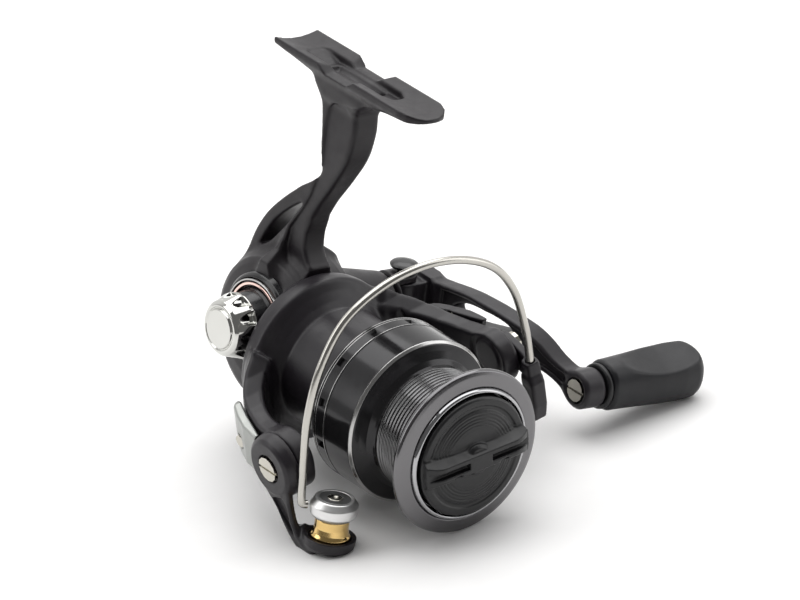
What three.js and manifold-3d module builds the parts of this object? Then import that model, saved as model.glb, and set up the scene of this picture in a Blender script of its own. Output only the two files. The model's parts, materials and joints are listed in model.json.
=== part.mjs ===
// Spinning reel, compact size, as an assembly of separate pieces.
// Millimetres. X points forward along the spool shaft, Y to the handle side, Z up to the rod foot.
// Pieces are drawn in the shaft frame, with the spool shaft on the X axis, and the whole reel is
// then moved so that its origin is on the seat of the foot.
import * as THREE from 'three';
import { mergeVertices } from 'three/addons/utils/BufferGeometryUtils.js';
import Module from 'manifold-3d';

const wasm = await Module();
wasm.setup();

// ---------------------------------------------------------------- driving dimensions
const GAP = 0.3; // running gap and gap between pieces that touch

const SEAT_HEIGHT = 81; // seat face of the foot above the spool shaft
const SEAT_ORIGIN_X = 34; // the reel's origin on the front pad of the seat
const FOOT_REAR_X = -17.6;
const FOOT_FRONT_X = 34.8;
const FOOT_WIDTH = 14.5;
const FOOT_WAIST_WIDTH = 9;

const HANDLE_AXIS_X = -4.4;
const HANDLE_AXIS_Z = 6.35; // handle axis above the spool shaft
const HOUSING_X = -5.4; // centre of the round gearbox housing
const HOUSING_Z = 2.6;
const HOUSING_RADIUS = 20.8;
const HOUSING_LEFT_Y = -9.2;
const HOUSING_RIGHT_Y = 12.6;
const HOUSING_WALL = 2.2;
const HOUSING_FRONT_X = 6.4; // front of the housing, inside the rotor's cup
const NECK_RADIUS = 12.8;
const NECK_FRONT_X = 13.6;

const ROTOR_REAR_X = 5.3;
const ROTOR_RIM_RADIUS = 23.2;
const ROTOR_HUB_RADIUS = 17;
const ROTOR_HUB_FRONT_X = 38.5;
const ROTOR_TILT = 16.5; // degrees that the arms stand turned about the shaft
const PIVOT_X = 41.5; // bail pivot
const ARM_OUTER = 36.5; // outer face of an arm's end from the shaft
const ARM_INNER = 31.2;
const ARM_END_RADIUS = 8.4;

const SKIRT_RADIUS = 22.8;
const SKIRT_REAR_X = 36.4;
const SKIRT_FRONT_X = 53.1;
const DRUM_RADIUS = 16.9;
const LIP_RADIUS = 23;
const LIP_FRONT_X = 72.5;
const DRAG_CAVITY_RADIUS = 12.5;
const KNOB_RECESS_RADIUS = 17.2;
const DRAG_KNOB_RADIUS = 16.7;
const DRAG_KNOB_FACE_X = 76;

const SHAFT_RADIUS = 2;
const BAIL_WIRE_RADIUS = 1.1;
const ROLLER_X = 56.2; // line roller axis
const ROLLER_Y = -27.8;
const DISH_BOTTOM_Z = -29.8;

const CRANK_REACH = 55.6; // knob axis in front of the handle axis
const CRANK_DROP = 7.2; // and below it
const CRANK_EYE_Y = 53.8;
const FOLD_PIN_Y = 36.9;

// ---------------------------------------------------------------- finishes
const finishes = {
  body: { color: 0x34323a, roughness: 0.52, metalness: 0.2 },
  rotor: { color: 0x36343c, roughness: 0.48, metalness: 0.2 },
  trim: { color: 0x202024, roughness: 0.35, metalness: 0.2 },
  silver: { color: 0xc8c8c4, roughness: 0.38, metalness: 0.7 },
  chrome: { color: 0xd9dad8, roughness: 0.1, metalness: 1 },
  nickel: { color: 0xb8b4aa, roughness: 0.25, metalness: 1 },
  steel: { color: 0x9a9a9c, roughness: 0.3, metalness: 1 },
  brass: { color: 0xc59a4a, roughness: 0.25, metalness: 1 },
  copper: { color: 0xd9a394, roughness: 0.25, metalness: 0.9 },
  zinc: { color: 0x8c8d90, roughness: 0.45, metalness: 0.8 },
  spool: { color: 0x2a2a2e, roughness: 0.2, metalness: 0.7 },
  plastic: { color: 0x1d1d20, roughness: 0.5, metalness: 0 },
  felt: { color: 0x6f6a5e, roughness: 0.95, metalness: 0 },
  rubber: { color: 0x242427, roughness: 0.8, metalness: 0 },
};

// ---------------------------------------------------------------- solids and booleans
// A closed geometry reduced to shared vertices, with its faces pointing out.
function shell(geometry) {
  const bare = geometry.clone();
  bare.deleteAttribute('normal');
  bare.deleteAttribute('uv');
  const merged = mergeVertices(bare, 1e-4);
  const position = merged.attributes.position;
  const source = merged.index.array;
  const faces = [];
  const a = new THREE.Vector3();
  const b = new THREE.Vector3();
  const c = new THREE.Vector3();
  let volume = 0;
  for (let i = 0; i < source.length; i += 3) {
    const [i0, i1, i2] = [source[i], source[i + 1], source[i + 2]];
    if (i0 === i1 || i1 === i2 || i0 === i2) continue;
    faces.push(i0, i1, i2);
    a.fromBufferAttribute(position, i0);
    b.fromBufferAttribute(position, i1);
    c.fromBufferAttribute(position, i2);
    volume += a.dot(b.cross(c));
  }
  if (volume < 0) {
    for (let i = 0; i < faces.length; i += 3) {
      [faces[i], faces[i + 1]] = [faces[i + 1], faces[i]];
    }
  }
  const result = new THREE.BufferGeometry();
  result.setAttribute('position', new THREE.BufferAttribute(new Float32Array(position.array), 3));
  result.setIndex(faces);
  return result;
}

function toSolid(geometry) {
  const closed = shell(geometry);
  return new wasm.Manifold(new wasm.Mesh({
    numProp: 3,
    vertProperties: closed.attributes.position.array,
    triVerts: new Uint32Array(closed.index.array),
  }));
}

function toGeometry(manifold) {
  const mesh = manifold.getMesh();
  const geometry = new THREE.BufferGeometry();
  geometry.setAttribute('position', new THREE.BufferAttribute(new Float32Array(mesh.vertProperties), 3));
  geometry.setIndex(Array.from(mesh.triVerts));
  return geometry;
}

function join(first, ...others) {
  return toGeometry(others.reduce((sum, other) => sum.add(toSolid(other)), toSolid(first)));
}

function cut(first, ...others) {
  return toGeometry(others.reduce((rest, other) => rest.subtract(toSolid(other)), toSolid(first)));
}

function common(first, second) {
  return toGeometry(toSolid(first).intersect(toSolid(second)));
}

// The largest body of a cut solid, without the crumbs that a cut may leave behind.
function largestBody(geometry) {
  const bodies = toSolid(geometry).decompose();
  bodies.sort((one, other) => other.volume() - one.volume());
  return toGeometry(bodies[0]);
}

// ---------------------------------------------------------------- shape helpers
const AXES = {
  x: new THREE.Matrix4().makeBasis(
    new THREE.Vector3(0, 1, 0), new THREE.Vector3(0, 0, 1), new THREE.Vector3(1, 0, 0)),
  y: new THREE.Matrix4().makeBasis(
    new THREE.Vector3(1, 0, 0), new THREE.Vector3(0, 0, 1), new THREE.Vector3(0, 1, 0)),
  z: new THREE.Matrix4(),
};

function moved(geometry, x, y, z) {
  return geometry.clone().translate(x, y, z);
}

// Faces around a turned part: the wish times the fineness of the whole model, in whole quarters.
const FINENESS = 0.5;
function facesAround(wish) {
  return Math.max(12, 4 * Math.round((wish * FINENESS) / 4));
}

function onHandleAxis(geometry) {
  return moved(geometry, HANDLE_AXIS_X, 0, HANDLE_AXIS_Z);
}

// A turned part: profile points are [place along the axis, radius] and close on themselves.
function turned(axis, profile, segments = 36) {
  const points = profile.map(([along, radius]) => new THREE.Vector2(radius, along));
  const ends = [points[0], points[points.length - 1]];
  if (ends[0].x > 0 || ends[1].x > 0) points.push(points[0].clone());
  const lathe = new THREE.LatheGeometry(points, facesAround(segments));
  lathe.rotateX(Math.PI / 2);
  return shell(lathe.applyMatrix4(AXES[axis]));
}

function rod(axis, from, to, radius, segments = 24) {
  return turned(axis, [[from, 0], [from, radius], [to, radius], [to, 0]], segments);
}

function ring(axis, from, to, inner, outer, segments = 24) {
  return turned(axis, [[from, inner], [from, outer], [to, outer], [to, inner]], segments);
}

// A plate: the shape lies across the axis and the plate runs from one place on it to another.
function plate(axis, shape, from, to, chamfer = 0) {
  const geometry = new THREE.ExtrudeGeometry(shape, {
    depth: to - from - 2 * chamfer,
    bevelEnabled: chamfer > 0,
    bevelThickness: chamfer,
    bevelSize: chamfer,
    bevelOffset: -chamfer,
    bevelSegments: 1,
    curveSegments: 7,
  });
  geometry.translate(0, 0, from + chamfer);
  return shell(geometry.applyMatrix4(AXES[axis]));
}

function outline(points) {
  return new THREE.Shape(points.map(([a, b]) => new THREE.Vector2(a, b)));
}

// A smooth closed outline through the points.
function smoothOutline(points, divisions) {
  const curve = new THREE.CatmullRomCurve3(
    points.map(([a, b]) => new THREE.Vector3(a, b, 0)), true, 'centripetal');
  return outline(curve.getSpacedPoints(divisions).slice(0, -1).map((p) => [p.x, p.y]));
}

function disc(x, y, radius) {
  const shape = new THREE.Shape();
  shape.absarc(x, y, radius, 0, Math.PI * 2);
  return shape;
}

function box(x0, x1, y0, y1, z0, z1) {
  return moved(new THREE.BoxGeometry(x1 - x0, y1 - y0, z1 - z0), (x0 + x1) / 2, (y0 + y1) / 2, (z0 + z1) / 2);
}

function arc(x, y, radius, fromDegrees, toDegrees, steps) {
  const points = [];
  for (let i = 0; i <= steps; i += 1) {
    const angle = THREE.MathUtils.degToRad(fromDegrees + ((toDegrees - fromDegrees) * i) / steps);
    points.push([x + radius * Math.cos(angle), y + radius * Math.sin(angle)]);
  }
  return points;
}

// A belt around circles [x, y, radius], as a convex outline.
function belt(circles, stepsEach = 14) {
  const points = [];
  for (const [x, y, radius] of circles) {
    for (let i = 0; i < stepsEach; i += 1) {
      const angle = (i / stepsEach) * Math.PI * 2;
      points.push([x + radius * Math.cos(angle), y + radius * Math.sin(angle)]);
    }
  }
  points.sort((p, q) => p[0] - q[0] || p[1] - q[1]);
  const turn = (o, p, q) => (p[0] - o[0]) * (q[1] - o[1]) - (p[1] - o[1]) * (q[0] - o[0]);
  const half = (list) => {
    const chain = [];
    for (const point of list) {
      while (chain.length > 1 && turn(chain[chain.length - 2], chain[chain.length - 1], point) <= 0) {
        chain.pop();
      }
      chain.push(point);
    }
    return chain.slice(0, -1);
  };
  return outline([...half(points), ...half([...points].reverse())]);
}

function tube(points, radius, sides, steps) {
  const path = new THREE.CatmullRomCurve3(points.map((p) => new THREE.Vector3(...p)), false, 'centripetal');
  const section = new THREE.Shape();
  for (let i = 0; i < sides; i += 1) {
    const angle = (i / sides) * Math.PI * 2;
    const [x, y] = [radius * Math.cos(angle), radius * Math.sin(angle)];
    if (i === 0) section.moveTo(x, y);
    else section.lineTo(x, y);
  }
  return shell(new THREE.ExtrudeGeometry(section, { extrudePath: path, steps, bevelEnabled: false }));
}

// ---------------------------------------------------------------- the assembly
const reel = new THREE.Group();
const shaftFrame = new THREE.Group();
shaftFrame.position.set(-SEAT_ORIGIN_X, 0, -SEAT_HEIGHT);
reel.add(shaftFrame);

const rotorFrame = new THREE.Group(); // local Y runs along the bail pivots
rotorFrame.rotation.x = THREE.MathUtils.degToRad(ROTOR_TILT);
shaftFrame.add(rotorFrame);

function add(parent, name, geometry, finish) {
  const mesh = new THREE.Mesh(geometry, new THREE.MeshStandardMaterial(finishes[finish]));
  mesh.name = name;
  parent.add(mesh);
  return mesh;
}

// ---------------------------------------------------------------- body frame with stem and foot
function footSolid() {
  const half = FOOT_WIDTH / 2;
  const waist = FOOT_WAIST_WIDTH / 2;
  const tipRadius = half * 1.02;
  const shape = new THREE.Shape();
  shape.moveTo(FOOT_REAR_X, -half);
  shape.lineTo(1.5, -half);
  shape.lineTo(6, -waist);
  shape.lineTo(11.5, -waist);
  shape.lineTo(16, -half);
  shape.lineTo(FOOT_FRONT_X, -half);
  shape.absarc(FOOT_FRONT_X, 0, tipRadius, -Math.PI / 2, Math.PI / 2);
  shape.lineTo(FOOT_FRONT_X, half);
  shape.lineTo(16, half);
  shape.lineTo(11.5, waist);
  shape.lineTo(6, waist);
  shape.lineTo(1.5, half);
  shape.lineTo(FOOT_REAR_X, half);
  const slab = plate('z', shape, SEAT_HEIGHT - 12, SEAT_HEIGHT + 1.2);
  // Side view: thin ends that thicken towards the stem.
  const side = plate('y', outline([
    [FOOT_REAR_X - 1, SEAT_HEIGHT + 1.2], [FOOT_REAR_X - 1, SEAT_HEIGHT - 0.8],
    [-9, SEAT_HEIGHT - 2], [0, SEAT_HEIGHT - 4.2], [3.4, SEAT_HEIGHT - 7.4], [14, SEAT_HEIGHT - 7.8],
    [19, SEAT_HEIGHT - 5], [30, SEAT_HEIGHT - 2.4], [FOOT_FRONT_X + tipRadius + 1, SEAT_HEIGHT - 1],
    [FOOT_FRONT_X + tipRadius + 1, SEAT_HEIGHT + 1.2],
  ]), -half - 1, half + 1);
  // Cross view: the seat is a shallow trough with a flat strip along its middle.
  const trough = plate('x', outline([
    [-half - 1, SEAT_HEIGHT + 1.2], [-3, SEAT_HEIGHT], [3, SEAT_HEIGHT], [half + 1, SEAT_HEIGHT + 1.2],
    [half - 1, SEAT_HEIGHT - 6], [4.5, SEAT_HEIGHT - 13], [-4.5, SEAT_HEIGHT - 13],
    [1 - half, SEAT_HEIGHT - 6],
  ]), FOOT_REAR_X - 1, FOOT_FRONT_X + tipRadius + 1);
  const pocket = plate('z', smoothOutline([
    [-5, 0.4], [2, 2.6], [14, 2.2], [26, 1.2], [29, -0.6], [24, -2.4], [10, -3], [0, -2.4],
  ], 24), SEAT_HEIGHT - 2.2, SEAT_HEIGHT + 3);
  return cut(common(common(slab, side), trough), pocket);
}

function stemSolid() {
  const half = 4.2;
  const shape = smoothOutline([
    [0.4, 76.5], [2.6, 70], [4, 60], [4.2, 51], [-3.4, 44.4], [-10.8, 37.4], [-16, 31], [-19.5, 22],
    [-21, 12], [-18, 4], [-8, 2], [-1, 8], [2.6, 16], [4.2, 21.6], [5.2, 24], [3.4, 25],
    [1.2, 27.6], [0.8, 33], [4.6, 41.4], [9.8, 49.6], [14.4, 58], [16.2, 66], [16, 72], [17, 76.5],
  ], 62);
  const window = smoothOutline([
    [-1.2, 40.6], [-6, 37.2], [-11.4, 31.8], [-15, 26], [-16, 23], [-12.4, 25.4], [-8.4, 30.2],
    [-4.4, 35.4],
  ], 24);
  shape.holes.push(window);
  return plate('y', shape, -half, half, 0.8);
}

// All the gearbox outside the rotor's cup, and what may reach into the cup.
const clearOfRotor = turned('x', [
  [-60, 0], [-60, 80], [ROTOR_REAR_X - 0.6, 80], [ROTOR_REAR_X - 0.6, 20.6], [HOUSING_FRONT_X, 20.4],
  [9.4, 14.2], [9.8, NECK_RADIUS], [NECK_FRONT_X, NECK_RADIUS], [NECK_FRONT_X, 0],
], 48);

function housingSolid() {
  const radius = HOUSING_RADIUS;
  const round = moved(turned('y', [
    [HOUSING_LEFT_Y, 0], [HOUSING_LEFT_Y, radius - 1.6], [HOUSING_LEFT_Y + 1, radius - 0.6],
    [HOUSING_LEFT_Y + 3, radius], [HOUSING_RIGHT_Y - 5, radius], [HOUSING_RIGHT_Y - 2.2, radius - 1.2],
    [HOUSING_RIGHT_Y, radius - 4.4], [HOUSING_RIGHT_Y, 0],
  ], 48), HOUSING_X, 0, HOUSING_Z);
  const nose = turned('x', [
    [-6, 0], [-6, 17], [4, 19.6], [HOUSING_FRONT_X, 20.4], [9.4, 14.2], [9.8, NECK_RADIUS],
    [NECK_FRONT_X, NECK_RADIUS], [NECK_FRONT_X, 0],
  ], 48);
  const noseBlock = common(nose, box(-7, 20, HOUSING_LEFT_Y - 0.2, 15, -15.5, 20));
  const handleBoss = turned('y', [
    [8, 0], [8, 12], [15, 10.8], [29.8, 7.6], [30.2, 7], [30.2, 0],
  ], 36);
  return common(
    join(round, noseBlock, moved(handleBoss, HANDLE_AXIS_X, 0, HANDLE_AXIS_Z)), clearOfRotor);
}

const COVER_PLUG_RADIUS = 11.4;
const GEAR_ROOM_RADIUS = 11;
function gearCavity() {
  const inner = HOUSING_RADIUS - HOUSING_WALL;
  const round = moved(turned('y', [
    [-7.2, 0], [-7.2, inner - 2], [-5.2, inner], [7.8, inner], [9.8, inner - 2.2], [9.8, 0],
  ], 40), HOUSING_X, 0, HOUSING_Z);
  const rear = common(round, box(-40, -8.2, -30, 20, -30, 30));
  const gearRoom = onHandleAxis(rod('y', -30, -3.4, GEAR_ROOM_RADIUS, 36));
  const opening = onHandleAxis(rod('y', -30, -7.6, COVER_PLUG_RADIUS + 0.4, 40));
  return join(rear, gearRoom, opening);
}

const GUIDE_ROD_Y = -2.1;
const GUIDE_ROD_HEIGHTS = { upper: 4.7, lower: -4.7 };
const shaftBores = [
  rod('x', -10, 20, 4.4, 24), // pinion passage
  rod('x', 6.7, 20, 7.4, 28), // pinion bearing seat
  rod('x', 9.7, 20, 11.4, 32), // one-way clutch seat
  onHandleAxis(rod('y', -4, 40, 5.2, 24)), // handle shaft passage
  onHandleAxis(rod('y', 9, 12.8, 7.4, 28)), // handle bearing seat
  ...Object.values(GUIDE_ROD_HEIGHTS).map((z) => moved(rod('x', -24.8, -14, 1.15, 16), 0, GUIDE_ROD_Y, z)),
];
const bodyFrame = cut(join(footSolid(), stemSolid(), housingSolid()), gearCavity(), ...shaftBores);
add(shaftFrame, 'body_frame', largestBody(bodyFrame), 'body');

// ---------------------------------------------------------------- left side of the gearbox
const sideCover = common(onHandleAxis(turned('y', [
  [-7.9, 8.6], [-7.9, COVER_PLUG_RADIUS], [-9.5, COVER_PLUG_RADIUS], [-9.5, 13.7], [-11.6, 13.2],
  [-12.1, 12.6], [-12.1, 12.1], [-11.7, 12.1], [-11.7, 9.5], [-12.3, 9.4], [-13, 9], [-16.7, 8],
  [-16.7, 3.2], [-12, 3.2], [-12, 7.4], [-9, 7.4], [-9, 8.6],
], 44)), clearOfRotor);
add(shaftFrame, 'side_cover', sideCover, 'body');

function screwHead(axis, from, to, radius) {
  const slot = box(-radius, radius, from - 1, from + 0.5, -0.35, 0.35);
  return cut(rod(axis, from, to, radius, 16), slot);
}

// Double accent ring around the handle axis.
const ringProfile = [
  [-12, 9.9], [-12, 11.8], [-12.7, 11.5], [-12.7, 11], [-12.35, 10.85], [-12.7, 10.7], [-12.7, 10.2],
];
add(shaftFrame, 'accent_ring', onHandleAxis(turned('y', ringProfile, 40)), 'copper');

// ---------------------------------------------------------------- handle shaft and its drive train
const BEARING = { inner: 4.1, outer: 7, width: 3 };
add(shaftFrame, 'drive_bearing_left',
  onHandleAxis(ring('y', -11.7, -11.7 + BEARING.width, BEARING.inner, BEARING.outer)), 'steel');
add(shaftFrame, 'drive_bearing_right',
  onHandleAxis(ring('y', 9.5, 9.5 + BEARING.width, BEARING.inner, BEARING.outer)), 'steel');

// Face gear: a disc on a sleeve, with teeth towards the pinion. A small gear on the same sleeve
// drives the oscillation gear.
const GEAR_TEETH = 36;
const GEAR_RADIUS = 10.2;
const OSC_PINION_RADIUS = 4.8;
function toothedDisc(axis, teeth, root, tip, from, to) {
  const shape = new THREE.Shape();
  for (let i = 0; i < teeth; i += 1) {
    const pitch = (Math.PI * 2) / teeth;
    const corners = [[0, root], [0.3, tip], [0.6, tip], [0.9, root]];
    corners.forEach(([part, radius], k) => {
      const angle = (i + part) * pitch;
      const [x, y] = [radius * Math.cos(angle), radius * Math.sin(angle)];
      if (i === 0 && k === 0) shape.moveTo(x, y);
      else shape.lineTo(x, y);
    });
  }
  return plate(axis, shape, from, to);
}
const gearWeb = turned('y', [
  [-11.5, 2.7], [-11.5, 3.8], [-7.4, 3.8], [-7.4, GEAR_RADIUS - 0.9], [-5.8, GEAR_RADIUS - 0.9],
  [-5.8, 5.4], [-4.9, 3.8], [12.3, 3.8], [12.3, 2.7],
], 28);
const gearTeeth = cut(toothedDisc('y', GEAR_TEETH, GEAR_RADIUS - 0.8, GEAR_RADIUS, -7.2, -4.2),
  rod('y', -20, 0, GEAR_RADIUS - 2.6, 28));
const oscPinion = cut(toothedDisc('y', 12, OSC_PINION_RADIUS - 0.8, OSC_PINION_RADIUS, 5.2, 6.8),
  rod('y', 0, 10, 3.2, 16));
add(shaftFrame, 'drive_gear', onHandleAxis(join(gearWeb, gearTeeth, oscPinion)), 'zinc');

// The handle shaft runs through the gear sleeve; its clevis holds the crank's fold pin.
const clevisBase = turned('y', [
  [31.2, 0], [31.2, 6.4], [31.5, 7.2], [32.2, 7.4], [32.2, 0],
], 32);
const CHEEK_RADIUS = 3.7; // round ends, so that the crank's hub can turn over them
const cheekShape = belt([[0, 32.6, CHEEK_RADIUS], [0, FOLD_PIN_Y, CHEEK_RADIUS]]);
const clevisCheeks = common(
  turned('y', [[32, 0], [32, 7.4], [43, 7.4], [43, 0]], 32),
  join(plate('z', cheekShape, -8, -4.9), plate('z', cheekShape, 4.9, 8)));
const handleShaft = cut(
  join(clevisBase, clevisCheeks, rod('y', -17.6, 32, 2.4, 20)),
  rod('z', -9, 9, 2, 20).translate(0, FOLD_PIN_Y, 0));
add(shaftFrame, 'handle_shaft', onHandleAxis(handleShaft), 'zinc');

add(shaftFrame, 'handle_collar', onHandleAxis(turned('y', [
  [14, 2.7], [14, 4.8], [30.5, 4.8], [30.5, 6.2], [30.9, 6.2], [30.9, 2.7],
], 24)), 'trim');

// Screw cap: clamps the handle shaft from the left side.
const CAP_FLUTES = 10;
const capBody = turned('y', [
  [-17, 0], [-17, 8.2], [-17.4, 8.9], [-18.4, 8.9], [-19, 8.4], [-23, 7.2], [-23.7, 6.4], [-23.7, 5.6],
  [-24.1, 5.4], [-24.1, 0],
], 40);
const flutes = [];
for (let i = 0; i < CAP_FLUTES; i += 1) {
  const angle = (i / CAP_FLUTES) * Math.PI * 2;
  flutes.push(rod('y', -23.8, -19, 1.5, 10).translate(9 * Math.cos(angle), 0, 9 * Math.sin(angle)));
}
const shaftSocket = rod('y', -18, -16, 2.8, 20);
add(shaftFrame, 'handle_screw_cap', onHandleAxis(cut(capBody, ...flutes, shaftSocket)), 'chrome');

// ---------------------------------------------------------------- pinion group
const PINION_TEETH = 7;
const PINION_RADIUS = 3.8;
const pinionBody = join(toothedDisc('x', PINION_TEETH, 2.9, PINION_RADIUS, -1.4, 4.8),
  rod('x', 4.6, 20.6, PINION_RADIUS, 20));
add(rotorFrame, 'pinion_gear', cut(pinionBody, rod('x', -20, 30, SHAFT_RADIUS + GAP, 20)), 'brass');
add(shaftFrame, 'pinion_bearing', ring('x', 7, 9.4, PINION_RADIUS + GAP, 7.1, 28), 'steel');
add(shaftFrame, 'one_way_clutch', ring('x', 10, 12.7, PINION_RADIUS + GAP, 11.1, 32), 'steel');
add(shaftFrame, 'clutch_retainer', ring('x', 13, 13.5, 5.4, 11.1, 28), 'nickel');

// ---------------------------------------------------------------- oscillation train
const OSC_X = -15.3;
const OSC_Z = 1.1;
const OSC_RADIUS = 7;
const oscGear = join(toothedDisc('y', 18, OSC_RADIUS - 0.8, OSC_RADIUS, 5.2, 6.8),
  rod('y', 4.85, 5.4, 0.9, 12).translate(2.5, 0, 3.7));
add(shaftFrame, 'oscillation_gear',
  moved(cut(oscGear, rod('y', 0, 10, 1.5, 16)), OSC_X, 0, OSC_Z), 'zinc');
add(shaftFrame, 'oscillation_gear_pin',
  moved(join(rod('y', 5.3, 9.3, 1.2, 16), rod('y', 7.2, 8, 2.4, 16)), OSC_X, 0, OSC_Z), 'steel');

// The slider is clamped to the rear of the main shaft and runs on two guide rods.
const SLIDER_X = -12.8;
const slider = cut(
  join(box(-1.7, 1.7, -3.7, 4.5, -6, 6.4), box(-2.2, 2.2, 1.2, 4.5, -5, 7.8)),
  rod('x', -4, 4, SHAFT_RADIUS + GAP, 20),
  box(-1.1, 1.1, 3, 5, -4, 6.6),
  ...Object.values(GUIDE_ROD_HEIGHTS).map((z) => moved(rod('x', -4, 4, 1.1, 16), 0, GUIDE_ROD_Y, z)));
add(shaftFrame, 'oscillation_slider', moved(slider, SLIDER_X, 0, 0), 'zinc');
add(shaftFrame, 'slider_screw', moved(rod('z', -7.2, -6.3, 1.1, 16), SLIDER_X, 1.6, 0), 'nickel');
Object.entries(GUIDE_ROD_HEIGHTS).forEach(([where, z]) => {
  add(shaftFrame, `guide_rod_${where}`, moved(rod('x', -24.4, -8.9, 0.8, 12), 0, GUIDE_ROD_Y, z), 'steel');
});

// ---------------------------------------------------------------- main shaft and rotor
add(shaftFrame, 'main_shaft', rod('x', SLIDER_X - 2, 69.5, SHAFT_RADIUS, 24), 'steel');

const rotorHub = turned('x', [
  [ROTOR_REAR_X, 21.3], [ROTOR_REAR_X, ROTOR_RIM_RADIUS - 0.9], [8, ROTOR_RIM_RADIUS],
  [10.4, ROTOR_RIM_RADIUS], [11.4, ROTOR_RIM_RADIUS - 0.4], [15, 17.9], [16, ROTOR_HUB_RADIUS],
  [ROTOR_HUB_FRONT_X - 0.5, ROTOR_HUB_RADIUS], [ROTOR_HUB_FRONT_X, 16.4], [ROTOR_HUB_FRONT_X, 15.2],
  [17.2, 15.2], [17.2, 4.1], [14.2, 4.1], [14.2, 14.4], [13.4, 15.4], [9.6, 21.3],
], 56);

function armSolid() {
  const side = plate('z', outline([
    [9.8, 22], [9.8, 23.8], [11, 25.8], [14, 28.6], [18.4, 31.2], [24, 33.6], [31, 35.8],
    [36, ARM_OUTER], [50.4, ARM_OUTER], [50.4, ARM_INNER], [35, ARM_INNER], [29, 30.2],
    [23.4, 27.8], [18.6, 24.6], [15.6, 20.2], [14.6, 18.6], [11.6, 22],
  ]), -20, 20);
  const front = plate('y', outline([
    [9.6, -12.6], [13, -10.4], [18, -7.6], [24, -6.4], [31, -6.2], [35, -6.6], [38, -7.6],
    ...arc(PIVOT_X, 0, ARM_END_RADIUS, -115, 105, 14),
    [36, 8.2], [30, 8.2], [20, 8.6], [14, 10.4], [9.6, 13.4],
  ]), 10, 50);
  const outside = common(side, front);
  // Keeps clear of the spool skirt.
  return cut(outside, rod('x', 16.4, 60, SKIRT_RADIUS + 1.2, 48));
}

// Both arms point along +Y here; the left one is the same arm turned half round the shaft.
const arm = armSolid();
const armPocket = box(25.5, 33, 31.9, 38, -3.6, 3.6);
const pivotBore = rod('y', 32.6, 40, 2.3, 20).translate(PIVOT_X, 0, 0);
const armDetailed = cut(arm, armPocket, pivotBore);
const halfTurn = (geometry) => geometry.clone().rotateX(Math.PI);
add(rotorFrame, 'rotor', join(rotorHub, armDetailed, halfTurn(armDetailed)), 'rotor');

add(rotorFrame, 'rotor_nut', cut(plate('x', (() => {
  const hex = [];
  for (let i = 0; i < 6; i += 1) hex.push([6.2 * Math.cos((i * Math.PI) / 3), 6.2 * Math.sin((i * Math.PI) / 3)]);
  return outline(hex);
})(), 17.5, 19.8), rod('x', 10, 30, 4.1, 20)), 'nickel');
add(rotorFrame, 'nut_lock_plate', cut(plate('x', belt([[0, 0, 7.4], [9.6, 0, 2.6]]), 20.1, 20.8),
  rod('x', 10, 30, 4.1, 20)), 'steel');

// ---------------------------------------------------------------- arm covers, bail spring, trip lever
function armCover() {
  const side = plate('z', outline([
    [16.2, 31.2], [17.4, 33.6], [22, 36.2], [29, 38.2], [33.2, 38.4], [33.2, 37.1], [31, 36.2],
    [24, 33.9], [18.4, 31.6],
  ]), -20, 20);
  const front = plate('y', belt([[21.5, 0.6, 6.2], [29.6, 1, 6]]), 20, 50);
  const screwHole = rod('y', 20, 50, 2, 16).translate(22.6, 0, 2.6);
  const leverRoom = rod('y', 20, 50, 9.4, 36).translate(PIVOT_X, 0, 0);
  return cut(common(side, front), screwHole, leverRoom);
}
const cover = armCover();
const coverScrew = screwHead('y', 34.2, 36.4, 1.7);
coverScrew.translate(22.6, 0, 2.6);
add(rotorFrame, 'arm_cover_left', halfTurn(cover), 'silver');
add(rotorFrame, 'arm_cover_right', cover, 'silver');
add(rotorFrame, 'arm_cover_screw_left', halfTurn(coverScrew), 'nickel');
add(rotorFrame, 'arm_cover_screw_right', coverScrew, 'nickel');

// Bail spring: a coil in the pocket of the right arm, under the cover.
const SPRING_TURNS = 5;
const springPath = [];
for (let i = 0; i <= SPRING_TURNS * 8; i += 1) {
  const angle = (i / 8) * Math.PI * 2;
  springPath.push([
    26.2 + (i / (SPRING_TURNS * 8)) * 6, 33.2 + 0.75 * Math.cos(angle), 0.9 * Math.sin(angle),
  ]);
}
add(rotorFrame, 'bail_spring', tube(springPath, 0.22, 5, SPRING_TURNS * 8), 'steel');
add(rotorFrame, 'trip_lever', halfTurn(plate('y',
  belt([[27.2, 0, 1.2], [31, 0, 1.6]], 12), 32.3, 33.1)), 'steel');

// ---------------------------------------------------------------- bail
// Left side: lever with a dish that holds the line roller upright.
const leverPlate = plate('y', outline([
  [PIVOT_X, 7.6], [46.4, 5.8], [48.8, 1.6], [48.5, -4], [48.2, -9], [48.6, -13], [49.8, -16.4],
  [52.4, -18.8], [55, -20], [54.6, -22.6], [49.8, -21.4], [46.2, -18.4], [42.6, -12.4],
  [38.4, -7.8], [34.4, -3],
]), -40.4, -ARM_OUTER - GAP, 0.6);
const leverBoss = turned('y', [
  [-ARM_OUTER - GAP, 0], [-ARM_OUTER - GAP, 8.9], [-39.4, 8.3], [-40.9, 7.2], [-40.9, 0],
], 36).translate(PIVOT_X, 0, 0);
const dish = turned('z', [
  [DISH_BOTTOM_Z, 0], [DISH_BOTTOM_Z, 5.6], [DISH_BOTTOM_Z + 1.2, 6.7], [DISH_BOTTOM_Z + 3.8, 6.9],
  [DISH_BOTTOM_Z + 3.8, 5.9], [DISH_BOTTOM_Z + 3, 5.7], [DISH_BOTTOM_Z + 3, 0],
], 36).translate(ROLLER_X, ROLLER_Y, 0).rotateX(THREE.MathUtils.degToRad(-ROTOR_TILT));
const leverWeb = plate('y', belt([[50, -18.4, 1.8], [55, -20.4, 2], [52, -16.6, 1.4]]), -40, -33.2);
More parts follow.
